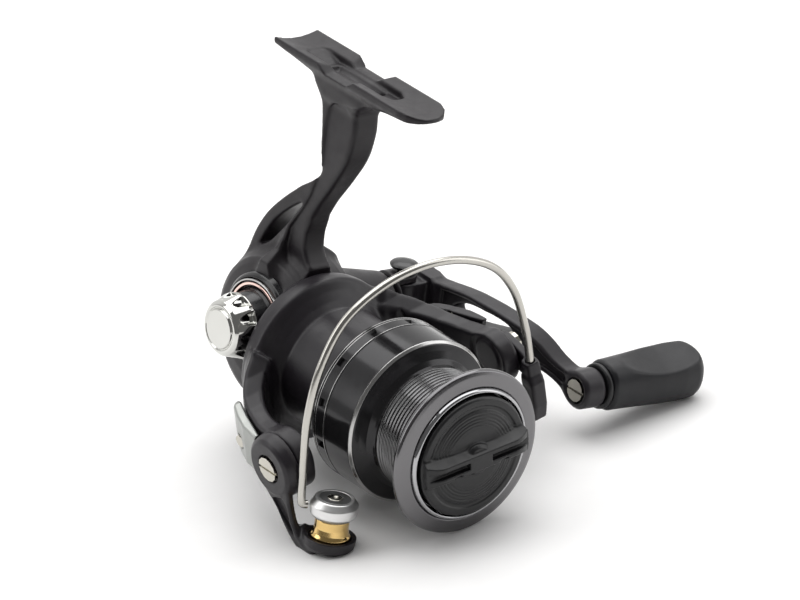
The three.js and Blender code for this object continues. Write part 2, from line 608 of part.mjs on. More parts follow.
// Thinned around the boss, so that the open lever passes over the arm cover.
const coverRoom = ring('y', -38.7, -35, 8.9, 17.5, 40).translate(PIVOT_X, 0, 0);
const leverBore = rod('y', -50, -30, 2.3, 20).translate(PIVOT_X, 0, 0);
const leverHeadSeat = rod('y', -50, -39.6, 4, 24).translate(PIVOT_X, 0, 0);
const rollerSpace = turned('z', [
  [DISH_BOTTOM_Z + 3, 0], [DISH_BOTTOM_Z + 3, 5.7], [DISH_BOTTOM_Z + 3.8, 5.9],
  [DISH_BOTTOM_Z + 4, 7], [DISH_BOTTOM_Z + 16, 7], [DISH_BOTTOM_Z + 16, 0],
], 36).translate(ROLLER_X, ROLLER_Y, 0).rotateX(THREE.MathUtils.degToRad(-ROTOR_TILT));
const rollerScrewHole = rod('z', DISH_BOTTOM_Z - 2, DISH_BOTTOM_Z + 6, 1.7, 16)
  .translate(ROLLER_X, ROLLER_Y, 0).rotateX(THREE.MathUtils.degToRad(-ROTOR_TILT));
add(rotorFrame, 'bail_lever', cut(join(cut(leverPlate, coverRoom), leverBoss, dish, leverWeb),
  leverBore, leverHeadSeat, rollerSpace, rollerScrewHole), 'rotor');

// Pivot screws: a shouldered shank through the lever into the arm.
const pivotScrewLeft = join(
  screwHead('y', -41.3, -39.9, 3.5),
  rod('y', -40, -33, 2, 20)).translate(PIVOT_X, 0, 0);
add(rotorFrame, 'bail_lever_screw', pivotScrewLeft, 'nickel');

// Right side: holder that takes the far end of the wire.
const HOLDER_OUTER = 39.4;
const holderShape = outline([
  [37.6, -3.6], [37.2, 0], [38.4, 3], [41.5, 4], [46, 3], [50.4, 1.6], [54.4, 0.4], [55.4, -2.4],
  [55.6, -12], [54.6, -16.4], [52.4, -18.2], [50.8, -17.2], [50.3, -13], [49.4, -4.8], [44, -4.4],
  [40, -4.4],
]);
const holderBlock = plate('y', outline([
  [50.3, 1.4], [54.4, 0.4], [55.4, -2.4], [55.6, -12], [54.6, -16.4], [52.4, -18.2], [50.8, -17.2],
  [50.3, -13],
]), 35, HOLDER_OUTER, 0.6);
const holderBar = join(plate('y', holderShape, ARM_OUTER + GAP, HOLDER_OUTER, 0.6), holderBlock);
const WIRE_PLANE_X = 52.3;
const WIRE_END_Y = 37.3;
const holderSocket = rod('z', -1.6, 8, BAIL_WIRE_RADIUS + GAP, 16).translate(WIRE_PLANE_X, WIRE_END_Y, 0);
const holderBore = rod('y', 30, 50, 2.3, 20).translate(PIVOT_X, 0, 0);
add(rotorFrame, 'bail_holder', cut(holderBar, holderSocket, holderBore), 'rotor');
const holderScrew = join(rod('y', 39.7, 40.9, 3, 20), rod('y', 33, 39.8, 2, 20)).translate(PIVOT_X, 0, 0);
add(rotorFrame, 'bail_holder_screw', holderScrew, 'nickel');

// Roller stack, standing in the dish.
const stack = new THREE.Group();
stack.rotation.x = THREE.MathUtils.degToRad(-ROTOR_TILT);
rotorFrame.add(stack);
const onRollerAxis = (geometry) => moved(geometry, ROLLER_X, ROLLER_Y, 0);
const ROLLER_BASE_Z = DISH_BOTTOM_Z + 3 + GAP;
add(stack, 'line_roller', onRollerAxis(turned('z', [
  [ROLLER_BASE_Z, 3], [ROLLER_BASE_Z, 5.3], [ROLLER_BASE_Z + 0.8, 5.3], [ROLLER_BASE_Z + 1.6, 4.7],
  [ROLLER_BASE_Z + 3.4, 4.5], [ROLLER_BASE_Z + 5.6, 4.6], [ROLLER_BASE_Z + 5.6, 3],
], 36)), 'brass');
add(stack, 'roller_bush', onRollerAxis(ring('z', ROLLER_BASE_Z, ROLLER_BASE_Z + 5.6, 1.7, 2.7, 20)), 'nickel');
const CAP_BASE_Z = ROLLER_BASE_Z + 5.6 + GAP;
const CAP_TOP_Z = CAP_BASE_Z + 5.3;
add(stack, 'roller_cap', onRollerAxis(turned('z', [
  [CAP_BASE_Z, 1.7], [CAP_BASE_Z, 4.9], [CAP_BASE_Z + 1.2, 6.2], [CAP_BASE_Z + 2.2, 6.6],
  [CAP_BASE_Z + 3, 6.5], [CAP_TOP_Z, 5.7], [CAP_TOP_Z, 3.9], [CAP_TOP_Z - 1.4, 3.6],
  [CAP_TOP_Z - 1.4, 1.7],
], 36)), 'silver');
add(stack, 'roller_screw', onRollerAxis(turned('z', [
  [DISH_BOTTOM_Z + 0.6, 0], [DISH_BOTTOM_Z + 0.6, 1.4], [CAP_TOP_Z - 1.1, 1.4], [CAP_TOP_Z - 1.1, 3],
  [CAP_TOP_Z - 0.3, 2.6], [CAP_TOP_Z - 0.3, 0],
], 20)), 'nickel');

// Bail wire: from the roller cap around the front of the spool to the holder.
const wirePath = [
  [52, -37, -7.9], [51.5, -38.1, -7.4], [51.4, -38.3, -6], [51.6, -37.4, -0.5], [51.9, -36.4, 6], [52.3, -33.6, 18],
  [52.8, -28.2, 30.5], [53.2, -19.4, 40.8], [53.6, -7, 45.6], [53.7, 6, 45.8], [53.4, 18.6, 41.8],
  [53, 28.8, 34.4], [52.8, 34.4, 24.4], [52.4, 36.8, 12], [WIRE_PLANE_X, WIRE_END_Y, 4],
  [WIRE_PLANE_X, WIRE_END_Y, -1.3],
];
add(rotorFrame, 'bail_wire', tube(wirePath, BAIL_WIRE_RADIUS, 7, 38), 'chrome');

// ---------------------------------------------------------------- spool and drag
const spoolProfile = [
  [SKIRT_REAR_X, 21.4], [SKIRT_REAR_X, SKIRT_RADIUS], [52.4, SKIRT_RADIUS], [SKIRT_FRONT_X, 22.4],
  [54.2, 21.2], [55.2, 18], [56.2, DRUM_RADIUS], [66.4, DRUM_RADIUS], [68, 18], [70.6, 22.4],
  [71.4, LIP_RADIUS], [LIP_FRONT_X, LIP_RADIUS], [73.1, 22.4], [73.9, 18.8], [74.6, 18.3],
  [74.8, 17.6], [74.2, KNOB_RECESS_RADIUS], [70.2, KNOB_RECESS_RADIUS], [70.2, DRAG_CAVITY_RADIUS],
  [60, DRAG_CAVITY_RADIUS], [60, 4.3], [51.4, 4.3], [51.4, 8.6], [54, 8.6], [54, 14], [52.6, 21.4],
];
add(shaftFrame, 'spool', turned('x', spoolProfile, 64), 'spool');
add(shaftFrame, 'spool_bush', ring('x', 51.4, 59.7, SHAFT_RADIUS + GAP, 4, 24), 'plastic');
const clickWheel = toothedDisc('x', 20, 6.4, 7.2, 48.8, 50);
add(shaftFrame, 'click_gear', cut(clickWheel, rod('x', 40, 60, SHAFT_RADIUS + GAP, 20)), 'plastic');
add(shaftFrame, 'click_pawl', plate('x', belt([[0, 10.6, 1.6], [2.6, 13.6, 1.4]], 12), 51.6, 53.4), 'plastic');

const dragDiscs = [
  ['drag_disc_felt_rear', 'felt', 4.6, 12.1], ['drag_disc_keyed_rear', 'steel', 2.3, 11.6],
  ['drag_disc_felt_front', 'felt', 4.6, 12.1], ['drag_disc_eared', 'steel', 4.6, 12.2],
  ['drag_disc_keyed_front', 'steel', 2.3, 11.6],
];
dragDiscs.forEach(([name, finish, inner, outer], i) => {
  const from = 60.3 + i * 1.4;
  add(shaftFrame, name, ring('x', from, from + 1.1, inner, outer, 28), finish);
});
const clipShape = new THREE.Shape();
clipShape.absarc(0, 0, 12.2, 0.3, Math.PI * 2 - 0.3);
clipShape.absarc(0, 0, 11, Math.PI * 2 - 0.3, 0.3, true);
add(shaftFrame, 'drag_clip', plate('x', clipShape, 67.5, 68.1), 'steel');

// Drag knob: cap with a finger bar across it and a press boss behind.
function knobSolid() {
  const face = DRAG_KNOB_FACE_X;
  const cap = turned('x', [
    [69.6, 0], [69.6, 7], [70.6, 7.4], [70.6, 16.2], [71.2, DRAG_KNOB_RADIUS],
    [face - 0.6, DRAG_KNOB_RADIUS], [face, 16], [face + 0.5, 12], [face + 0.8, 0],
  ], 48);
  const bar = plate('x', outline([
    [-17, -2], [-14.6, -2.7], [-4.6, -2.2], [-3.6, -3.4], [3.6, -3.4], [4.6, -2.2], [14.6, -2.7],
    [17, -2], [17, 2], [14.6, 2.7], [4.6, 2.2], [3.6, 3.4], [-3.6, 3.4], [-4.6, 2.2], [-14.6, 2.7],
    [-17, 2],
  ]), face - 1.2, face + 3.6, 0.6);
  return cut(join(cap, bar), rod('x', 60, 73.4, 4.4, 24));
}
const KNOB_BAR_TURN = 12;
const dragGroup = new THREE.Group();
dragGroup.rotation.x = THREE.MathUtils.degToRad(KNOB_BAR_TURN);
shaftFrame.add(dragGroup);
add(dragGroup, 'drag_knob', knobSolid(), 'plastic');
const nutHex = outline([0, 1, 2, 3, 4, 5].map((i) => [4 * Math.cos((i * Math.PI) / 3), 4 * Math.sin((i * Math.PI) / 3)]));
add(dragGroup, 'drag_nut', cut(plate('x', nutHex, 70.2, 73.1), rod('x', 60, 80, SHAFT_RADIUS + GAP, 20)), 'brass');
add(dragGroup, 'drag_spring', ring('x', 68.5, 69.9, 2.5, 3.8, 20), 'steel');

// ---------------------------------------------------------------- crank and knob
// The crank's hub sits between the cheeks of the clevis; its arm runs forward and outwards.
const hub = join(
  rod('z', -4.6, 4.6, 4.4, 28).translate(0, FOLD_PIN_Y, 0),
  box(-4.3, 4.3, FOLD_PIN_Y, 46.2, -4.6, 4.6));
const hubFace = common(turned('y', [[42.4, 0], [42.4, 7.6], [46, 7.8], [47.8, 6.6], [47.8, 0]], 32),
  box(-4.3, 7.8, 42, 49, -7.2, 6));
const armFront = plate('y', outline([
  [-4.3, 5], [3, 5.2], [9, 5.8], [15, 6.5], [20, 6.8], [26, 6.3], [32, 5.2], [38, 3.9], [42, 1.8],
  [46, -1.4], [50, -3.4], [55, -3.4], [59.6, -7.4],
  [57.6, -11.4], [53, -11.2], [46, -6.6], [36, -3.8], [22, -3.9], [8, -5.8], [-4.3, -7.2],
]), 34, 74);
const armTop = plate('z', outline([
  [-5, 43.4], [-4.4, 42.6], [6, 42.6], [24, 44.4], [40, 49], [51, CRANK_EYE_Y + 0.4],
  [60, CRANK_EYE_Y + 0.4], [60, CRANK_EYE_Y + 6.2], [50, CRANK_EYE_Y + 5.6], [38, 54.8], [22, 50.2],
  [6, 48], [-4.4, 48], [-5, 47.2],
]), -20, 20);
const slot = plate('y', smoothOutline([
  [13, 0.8], [17, 3.4], [22, 4], [28, 3.6], [32.4, 2.4], [33, 0.8], [28, 0.2], [20, -1], [15, -1.2],
], 24), 34, 74);
const onEye = (geometry) => moved(geometry, CRANK_REACH, CRANK_EYE_Y, -CRANK_DROP);
const eye = onEye(turned('y', [
  [0, 0], [0, 4.5], [0.7, 5.2], [8.2, 5.4], [8.8, 4.9], [8.8, 0],
], 32));
const eyeBore = onEye(rod('y', -10, 20, 2.6, 20));
const eyeSeat = onEye(rod('y', -10, 1.2, 3.5, 20));
const pinHole = rod('z', -9, 9, 2.1, 20).translate(0, FOLD_PIN_Y, 0);
const crankArm = cut(join(hub, hubFace, cut(common(armFront, armTop), slot), eye), eyeBore, eyeSeat, pinHole);
add(shaftFrame, 'crank_arm', onHandleAxis(crankArm), 'rotor');

add(shaftFrame, 'fold_pin', onHandleAxis(turned('z', [
  [-8.6, 0], [-8.6, 1.7], [8.3, 1.7], [8.3, 4], [9, 4.1], [9.8, 3], [10.1, 0],
], 24).translate(0, FOLD_PIN_Y, 0)), 'trim');

const onKnobAxis = (geometry) => onHandleAxis(onEye(geometry));
add(shaftFrame, 'knob_pin', onKnobAxis(join(
  screwHead('y', -0.2, 0.9, 3.1),
  rod('y', 0.8, 31, 2.2, 20),
  rod('y', 31, 32, 3.2, 20))), 'nickel');
add(shaftFrame, 'knob_collar', onKnobAxis(turned('y', [
  [9.1, 2.5], [9.1, 5.8], [9.8, 6.3], [11.2, 6.3], [11.2, 2.5],
], 32)), 'plastic');

// Knob: a rounded grip that widens outwards, with flats above and below.
function knobGrip() {
  const start = 11.5;
  const body = turned('y', [
    [start, 0], [start, 6.1], [start + 0.8, 6.5], [start + 8, 6.9], [start + 20, 8.1],
    [start + 25.6, 7.8], [start + 28.4, 6.4], [start + 29.2, 4], [start + 29.2, 0],
  ], 32);
  const squash = new THREE.Matrix4().makeScale(0.94, 1, 1);
  const flats = plate('x', outline([
    [start - 1, -6.6], [start + 31, -8.2], [start + 31, 7.2], [start + 16, 7.8], [start - 1, 5.6],
  ]), -12, 12);
  const grip = common(body.applyMatrix4(squash), flats);
  const bore = turned('y', [
    [start - 1, 0], [start - 1, 2.5], [start + 19, 2.5], [start + 19, 3.6], [start + 21.4, 3.6],
    [start + 21.4, 0],
  ], 20);
  return { grip, bore };
}
const { grip, bore } = knobGrip();
const capRoom = rod('y', 30.9, 60, 4.1, 24);
add(shaftFrame, 'knob', onKnobAxis(cut(grip, bore, capRoom)), 'rubber');
add(shaftFrame, 'knob_cap', onKnobAxis(rod('y', 38.4, 40.6, 3.8, 24)), 'trim');

// ---------------------------------------------------------------- anti-reverse lever
// A small lever under the housing, which turns about its middle.
const LEVER_ANGLE = -114; // its place around the housing, in degrees
const leverOutline = arc(0, 0, HOUSING_RADIUS + 0.7, -19, 19, 6)
  .concat([[22.9, 7.6], [23.6, 2.4], [24.6, 0.6], [24.6, -1.4], [23.4, -3.2], [22.8, -7.4]]);
const antiReverse = plate('y', outline(leverOutline), -2.6, 2.6, 0.3);
antiReverse.rotateY(THREE.MathUtils.degToRad(-LEVER_ANGLE));
add(shaftFrame, 'anti_reverse_lever', moved(antiReverse, HOUSING_X, 1.8, HOUSING_Z), 'trim');

export default reel;
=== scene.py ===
import json
import math

import bpy
import numpy as np
from mathutils import Matrix, Vector


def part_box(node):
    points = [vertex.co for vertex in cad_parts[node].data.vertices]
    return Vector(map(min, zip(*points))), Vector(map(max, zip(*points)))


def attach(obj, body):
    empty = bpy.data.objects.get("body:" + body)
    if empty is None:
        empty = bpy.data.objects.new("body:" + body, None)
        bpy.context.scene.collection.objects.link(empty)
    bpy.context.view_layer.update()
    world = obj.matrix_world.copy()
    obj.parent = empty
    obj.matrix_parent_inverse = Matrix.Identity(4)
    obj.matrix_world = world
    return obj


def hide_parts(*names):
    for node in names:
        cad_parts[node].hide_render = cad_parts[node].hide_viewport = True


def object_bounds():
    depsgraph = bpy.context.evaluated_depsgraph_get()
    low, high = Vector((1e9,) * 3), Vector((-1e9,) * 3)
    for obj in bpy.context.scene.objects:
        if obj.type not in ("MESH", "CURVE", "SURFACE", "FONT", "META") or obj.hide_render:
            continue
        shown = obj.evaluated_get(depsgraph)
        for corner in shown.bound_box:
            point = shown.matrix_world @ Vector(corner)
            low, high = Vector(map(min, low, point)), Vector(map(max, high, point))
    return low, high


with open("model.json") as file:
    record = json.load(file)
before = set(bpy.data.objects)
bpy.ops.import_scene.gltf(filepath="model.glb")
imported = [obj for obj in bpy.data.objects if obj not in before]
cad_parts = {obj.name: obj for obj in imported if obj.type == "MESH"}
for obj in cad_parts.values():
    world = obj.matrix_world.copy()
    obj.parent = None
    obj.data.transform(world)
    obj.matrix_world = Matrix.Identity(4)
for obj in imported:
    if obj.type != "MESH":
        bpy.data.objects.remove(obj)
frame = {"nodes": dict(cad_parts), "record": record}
cad_low, cad_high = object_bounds()
scene = bpy.context.scene

# ---------------------------------------------------------------- the shaft frame
# Pieces are drawn in millimetres in the shaft frame: X forward along the spool shaft, Y to the
# handle side, Z up to the foot. Its place in the row frame comes from the spool's box.
SKIRT_REAR = 36.4
spool_low, spool_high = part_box("spool")
SHAFT = np.array([
    spool_low.x - SKIRT_REAR / 1000,
    (spool_low.y + spool_high.y) / 2,
    (spool_low.z + spool_high.z) / 2,
])
# The rotor's arms lie TILT off the Y axis, and the bail turns about pivots at their ends.
TILT = math.radians(16.5)
COS, SIN = math.cos(TILT), math.sin(TILT)
PIVOT_X, PIVOT_BORE = 41.5, 2.3
# The line roller stands on the dish at the end of the bail lever.
ROLLER_X, ROLLER_Y, DISH_Z = 56.2, -27.8, -29.8
# The handle turns about an axis along Y. Its crank folds at a pin and ends in the knob's eye.
HANDLE_X, HANDLE_Z = -4.4, 6.35
HANDLE_AXIS = (HANDLE_X, 0, HANDLE_Z)
FOLD_PIN_Y = 36.9
EYE_OUT, EYE_Y, EYE_DROP = 55.6, 53.8, 7.2
EYE = (HANDLE_X + EYE_OUT, EYE_Y, HANDLE_Z - EYE_DROP)
# Centre of the round gearbox housing, and the height of the seat on the foot.
HOUSING_X, HOUSING_Z = -5.4, 2.6
SEAT = 81.0
SLOTS = {s["node"]: s["material_slot"] for s in frame["record"]["subparts"]}


def to_row(points):
    """Shaft frame, mm, to row frame, m."""
    return np.asarray(points, float) / 1000 + SHAFT


def same(p):
    return np.asarray(p, float)


def from_rotor(p):
    """Rotor frame (x, v, w), in which v runs along the bail pivots, to shaft frame."""
    p = same(p)
    return np.stack([p[:, 0], p[:, 1] * COS - p[:, 2] * SIN, p[:, 1] * SIN + p[:, 2] * COS], 1)


def from_left_arm(p):
    """The same for a piece that is drawn on the right arm and sits on the left one."""
    return from_rotor(same(p) * np.array([1, -1, -1]))


# ---------------------------------------------------------------- camera
CAMERA_AT = (1530.5, -1283.3, 859.8)
CAMERA_RIGHT = (0.6057, 0.7857, 0.1259)
CAMERA_DOWN = (0.3813, -0.1477, -0.9126)
CAMERA_LENS = 370.0


def make_camera():
    right = Vector(CAMERA_RIGHT).normalized()
    down = Vector(CAMERA_DOWN)
    down = (down - right * down.dot(right)).normalized()
    forward = right.cross(down).normalized()
    data = bpy.data.cameras.new("camera")
    data.lens = CAMERA_LENS
    data.sensor_width = 36
    data.clip_start, data.clip_end = 0.1, 20
    camera = bpy.data.objects.new("camera", data)
    scene.collection.objects.link(camera)
    turn = Matrix((right, -down, -forward)).transposed()
    camera.matrix_world = Matrix.Translation(Vector(to_row(CAMERA_AT))) @ turn.to_4x4()
    scene.camera = camera


make_camera()


# ---------------------------------------------------------------- materials
def new_material(name):
    material = bpy.data.materials.new(name)
    material.use_nodes = True
    nodes, links = material.node_tree.nodes, material.node_tree.links
    return material, nodes, links, nodes["Principled BSDF"]


def noise(nodes, links, coords, scale, detail=4, rough=0.55):
    node = nodes.new("ShaderNodeTexNoise")
    node.inputs["Scale"].default_value = scale
    node.inputs["Detail"].default_value = detail
    node.inputs["Roughness"].default_value = rough
    links.new(coords, node.inputs["Vector"])
    return node.outputs["Fac"]


def ramp(nodes, links, value, low, high, from_low=0.3, from_high=0.7):
    node = nodes.new("ShaderNodeMapRange")
    node.inputs["From Min"].default_value = from_low
    node.inputs["From Max"].default_value = from_high
    node.inputs["To Min"].default_value = low
    node.inputs["To Max"].default_value = high
    links.new(value, node.inputs["Value"])
    return node.outputs["Result"]


def mixed(nodes, links, factor, one, other):
    node = nodes.new("ShaderNodeMix")
    node.data_type = "RGBA"
    node.inputs[6].default_value = (*one, 1)
    node.inputs[7].default_value = (*other, 1)
    links.new(factor, node.inputs[0])
    return node.outputs[2]


def bump(nodes, links, height, strength, distance):
    node = nodes.new("ShaderNodeBump")
    node.inputs["Strength"].default_value = strength
    node.inputs["Distance"].default_value = distance
    links.new(height, node.inputs["Height"])
    return node.outputs["Normal"]


COLOUR_NOISE, GLOSS_NOISE = 60, 320
GLOSS_SPREAD = 0.15
GRAIN_DEPTH = 0.0001


def finish(name, colour, rough, metallic=0.0, spread=0.12, grain=0.1, scale=2600, specular=0.5):
    """Colour and gloss that vary slowly, and a fine grain."""
    material, nodes, links, shader = new_material(name)
    coords = nodes.new("ShaderNodeTexCoord").outputs["Object"]
    slow = noise(nodes, links, coords, COLOUR_NOISE, 3)
    dark = tuple(c * (1 - spread) for c in colour)
    light = tuple(min(1, c * (1 + spread)) for c in colour)
    tint = mixed(nodes, links, ramp(nodes, links, slow, 0, 1), dark, light)
    links.new(tint, shader.inputs["Base Color"])
    cloud = noise(nodes, links, coords, GLOSS_NOISE, 5)
    gloss = ramp(nodes, links, cloud, rough * (1 - GLOSS_SPREAD), rough * (1 + GLOSS_SPREAD))
    links.new(gloss, shader.inputs["Roughness"])
    fine = noise(nodes, links, coords, scale, 2)
    links.new(bump(nodes, links, fine, grain, GRAIN_DEPTH), shader.inputs["Normal"])
    shader.inputs["Metallic"].default_value = metallic
    shader.inputs["Specular IOR Level"].default_value = specular
    return material


# Slot: colour, roughness, metallic, spread of the colour, grain, grain scale, specular.
LOOKS = {
    "graphite": ((0.0142, 0.0118, 0.0142), 0.42, 0.0, 0.1, 0.16, 2200, 0.34),
    "rotor_graphite": ((0.0140, 0.0118, 0.0150), 0.38, 0.0, 0.1, 0.14, 2200, 0.38),
    "trim_black": ((0.006, 0.006, 0.007), 0.22, 0.0, 0.2, 0.03),
    "silver_paint": ((0.33, 0.34, 0.325), 0.36, 0.85, 0.03, 0.06),
    "chrome": ((0.60, 0.60, 0.575), 0.07, 1.0, 0.03, 0.0),
    "nickel": ((0.56, 0.54, 0.48), 0.14, 1.0, 0.06, 0.02),
    "steel": ((0.56, 0.56, 0.57), 0.3, 1.0, 0.08, 0.06),
    "brass": ((0.72, 0.50, 0.20), 0.16, 1.0, 0.06, 0.03),
    "copper": ((0.85, 0.62, 0.56), 0.18, 1.0, 0.08, 0.03),
    "zinc": ((0.38, 0.38, 0.39), 0.45, 1.0, 0.12, 0.2),
    "spool_metal": ((0.022, 0.0215, 0.023), 0.14, 0.5, 0.1, 0.0),
    "black_plastic": ((0.007, 0.007, 0.008), 0.4, 0.0, 0.15, 0.1, 2600, 0.4),
    "felt": ((0.28, 0.26, 0.21), 0.95, 0.0, 0.25, 0.9, 900),
    "knob_rubber": ((0.0085, 0.0085, 0.0105), 0.4, 0.0, 0.12, 0.12, 2600, 0.34),
}
PAINT = {slot: finish(slot, *look) for slot, look in LOOKS.items()}
# Looks of stretches that differ from their node's slot.
LIP_METAL = finish("lip_gunmetal", (0.165, 0.162, 0.167), 0.2, 1.0, 0.03, 0.0)
DRUM_METAL = finish("drum_metal", (0.17, 0.17, 0.172), 0.17, 1.0, 0.04, 0.0)
POLISHED = finish("polished_rim", (0.40, 0.40, 0.41), 0.09, 1.0, 0.03, 0.0)
BRIGHT_CUT = finish("bright_cut", (0.46, 0.455, 0.45), 0.2, 1.0, 0.03, 0.02)
CAP_SILVER = finish("cap_silver", (0.74, 0.74, 0.735), 0.36, 1.0, 0.04, 0.02)
# Darker copy of the cap's silver for the cap's top face: painted shade, not a different metal.
CAP_TOP_PAINTED_SHADE = finish("cap_top_painted_shade", (0.40, 0.40, 0.405), 0.34, 1.0, 0.05, 0.02)
WIRE_STEEL = finish("wire_steel", (0.50, 0.485, 0.45), 0.2, 1.0, 0.04, 0.0)
KNOB_FACE = finish("drag_face", (0.009, 0.009, 0.010), 0.36, 0.0, 0.1, 0.04, specular=0.42)


def paint_cad():
    for name, node in frame["nodes"].items():
        node.data.materials.clear()
        node.data.materials.append(PAINT[SLOTS[name]])


paint_cad()


# ---------------------------------------------------------------- meshes
def add_piece(name, points, quads, triangles, normals, body, nodes, material=None):
    """A shown piece from points in the shaft frame that rides on a CAD body for these nodes."""
    points, normals = np.asarray(points, np.float32), np.asarray(normals, np.float32)
    quads = np.asarray(quads, np.int32).reshape(-1, 4)
    triangles = np.asarray(triangles, np.int32).reshape(-1, 3)
    mesh = bpy.data.meshes.new(name)
    mesh.vertices.add(len(points))
    mesh.vertices.foreach_set("co", to_row(points).astype(np.float32).ravel())
    loops = np.concatenate([quads.ravel(), triangles.ravel()])
    mesh.loops.add(len(loops))
    mesh.loops.foreach_set("vertex_index", loops)
    starts = np.concatenate([np.arange(len(quads)) * 4, len(quads) * 4 + np.arange(len(triangles)) * 3])
    mesh.polygons.add(len(starts))
    mesh.polygons.foreach_set("loop_start", starts.astype(np.int32))
    mesh.update(calc_edges=True)
    mesh.validate()
    mesh.polygons.foreach_set("use_smooth", np.ones(len(mesh.polygons), bool))
    mesh.normals_split_custom_set_from_vertices(normals.tolist())
    piece = bpy.data.objects.new(name, mesh)
    scene.collection.objects.link(piece)
    mesh.materials.append(material or PAINT[SLOTS[nodes[0]]])
    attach(piece, body)
    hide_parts(*nodes)
    return piece


def softened(points, radius, closed, steps=3):
    """The same line with its corners rounded."""
    points = [np.array(p, float) for p in points]
    out = []
    for i, corner in enumerate(points):
        if not closed and i in (0, len(points) - 1):
            out.append(corner)
            continue
        before, after = points[i - 1] - corner, points[(i + 1) % len(points)] - corner
        a, b = np.linalg.norm(before), np.linalg.norm(after)
        reach = min(radius, 0.45 * a, 0.45 * b)
        start, end = corner + before / a * reach, corner + after / b * reach
        for u in np.linspace(0, 1, steps + 1):
            out.append((1 - u) ** 2 * start + 2 * u * (1 - u) * corner + u * u * end)
    return np.array(out)


TINY = 1e-12
ON_AXIS = 1e-6


def placed(axis, centre, along, across, up):
    """Points of a turned piece about an axis letter through a centre."""
    order = {"x": (along, across, up), "y": (across, along, up), "z": (across, up, along)}
    local = np.stack(np.broadcast_arrays(*order[axis]), -1).reshape(-1, 3)
    return local + np.array(centre, float)


def outward_slopes(line, ring):
    """Unit normals of a profile at its points: across it, weighted by the steps on both sides."""
    step = np.roll(line, -1, 0) - line
    length = np.linalg.norm(step, axis=1, keepdims=True) + TINY
    side = np.stack([-step[:, 1], step[:, 0]], 1) / length
    if not ring:
        side[-1], length[-1] = 0, TINY
    weight = length ** 2
    slope = side * weight + np.roll(side * weight, 1, 0)
    slope /= np.linalg.norm(slope, axis=1, keepdims=True) + TINY
    if not ring:
        slope[0], slope[-1] = (slope[0][0] or 1, 0), (slope[-1][0] or 1, 0)
    return slope


def lathe(name, profile, axis, centre, body, nodes, material=None, soften=0.2, segments=112,
          pockets=None):
    """Solid of revolution. The (along, radius) profile runs from axis to axis, or is a closed ring.
    pockets = (along from, along to, depth, count, width, turn) sinks windows into the outside."""
    ring = min(r for _, r in profile) > ON_AXIS
    line = softened(profile, soften, ring)
    count = len(line)
    angle = np.arange(segments) / segments * 2 * math.pi
    cos, sin = np.cos(angle), np.sin(angle)
    slope = outward_slopes(line, ring)
    points = placed(axis, centre, line[:, :1], line[:, 1:] * cos, line[:, 1:] * sin)
    normals = placed(axis, (0, 0, 0), slope[:, :1], slope[:, 1:] * cos, slope[:, 1:] * sin)
    rows = np.arange(count if ring else count - 1)
    i, j = (n.ravel() for n in np.meshgrid(rows, np.arange(segments), indexing="ij"))
    k, m = (i + 1) % count, (j + 1) % segments
    quads = np.stack([i * segments + j, k * segments + j, k * segments + m, i * segments + m], 1)
    triangles = np.zeros((0, 3), int)
    if not ring:
        # The first and the last point lie on the axis, so fans close the ends.
        quads = quads[segments:-segments]
        around = np.arange(segments)
        after = (around + 1) % segments
        last = (count - 2) * segments
        triangles = np.concatenate([
            np.stack([np.zeros_like(around), segments + around, segments + after], 1),
            np.stack([last + around, np.full_like(around, last + segments), last + after], 1)])
    if pockets is not None:
        points, normals, quads = sink(points, normals, quads, axis, centre, pockets)
    # Faces look outward, and so do the normals.
    a, b, c, d = (points[quads[:, n]] for n in range(4))
    volume = (np.cross(a, b) * c).sum() + (np.cross(a, c) * d).sum()
    if volume < 0:
        quads, triangles = quads[:, ::-1], triangles[:, ::-1]
    corner = quads[np.argmax(np.linalg.norm(np.cross(b - a, c - a), axis=1))]
    facing = np.cross(points[corner[1]] - points[corner[0]], points[corner[2]] - points[corner[0]])
    if (facing * normals[corner[0]]).sum() < 0:
        normals = -normals
    used = np.zeros(len(points), bool)
    used[quads.ravel()] = True
    used[triangles.ravel()] = True
    number = np.cumsum(used) - 1
    return add_piece(name, points[used], number[quads], number[triangles], normals[used], body,
                     nodes, material)


def sink(points, normals, quads, axis, centre, pockets):
    """Windows about the X axis: the outside faces inside each one are moved in, with walls round."""
    start, end, depth, number, width, turn = pockets
    middle = points[quads].mean(1) - np.array(centre, float)
    radius = np.hypot(middle[:, 1], middle[:, 2])
    angle = np.degrees(np.arctan2(middle[:, 2], middle[:, 1])) - turn
    pitch = 360 / number
    off = np.abs((angle + pitch / 2) % pitch - pitch / 2)
    outer = radius > radius.max() - 0.6
    chosen = (middle[:, 0] > start) & (middle[:, 0] < end) & (off < width / 2) & outer
    inside = quads[chosen]
    moved_from = np.unique(inside)
    offset = points[moved_from] - np.array(centre, float)
    scale = 1 - depth / np.hypot(offset[:, 1], offset[:, 2])
    sunk = offset * np.stack([np.ones_like(scale), scale, scale], 1) + np.array(centre, float)
    table = {p: len(points) + n for n, p in enumerate(moved_from)}
    floor = np.vectorize(table.get)(inside)
    edges = {}
    for q in inside:
        for n in range(4):
            edges[(q[n], q[(n + 1) % 4])] = True
    walls = [(a, b, table[b], table[a]) for a, b in edges if (b, a) not in edges]
    return (np.concatenate([points, sunk]), np.concatenate([normals, normals[moved_from]]),
            np.concatenate([quads[~chosen], floor, np.array(walls)]))


def spline(a, b, c, d, u):
    """A point of the smooth curve from b to c, with a before and d after them."""
    return 0.5 * ((2 * b) + (c - a) * u + (2 * a - 5 * b + 4 * c - d) * u ** 2
                  + (3 * b - a - 3 * c + d) * u ** 3)


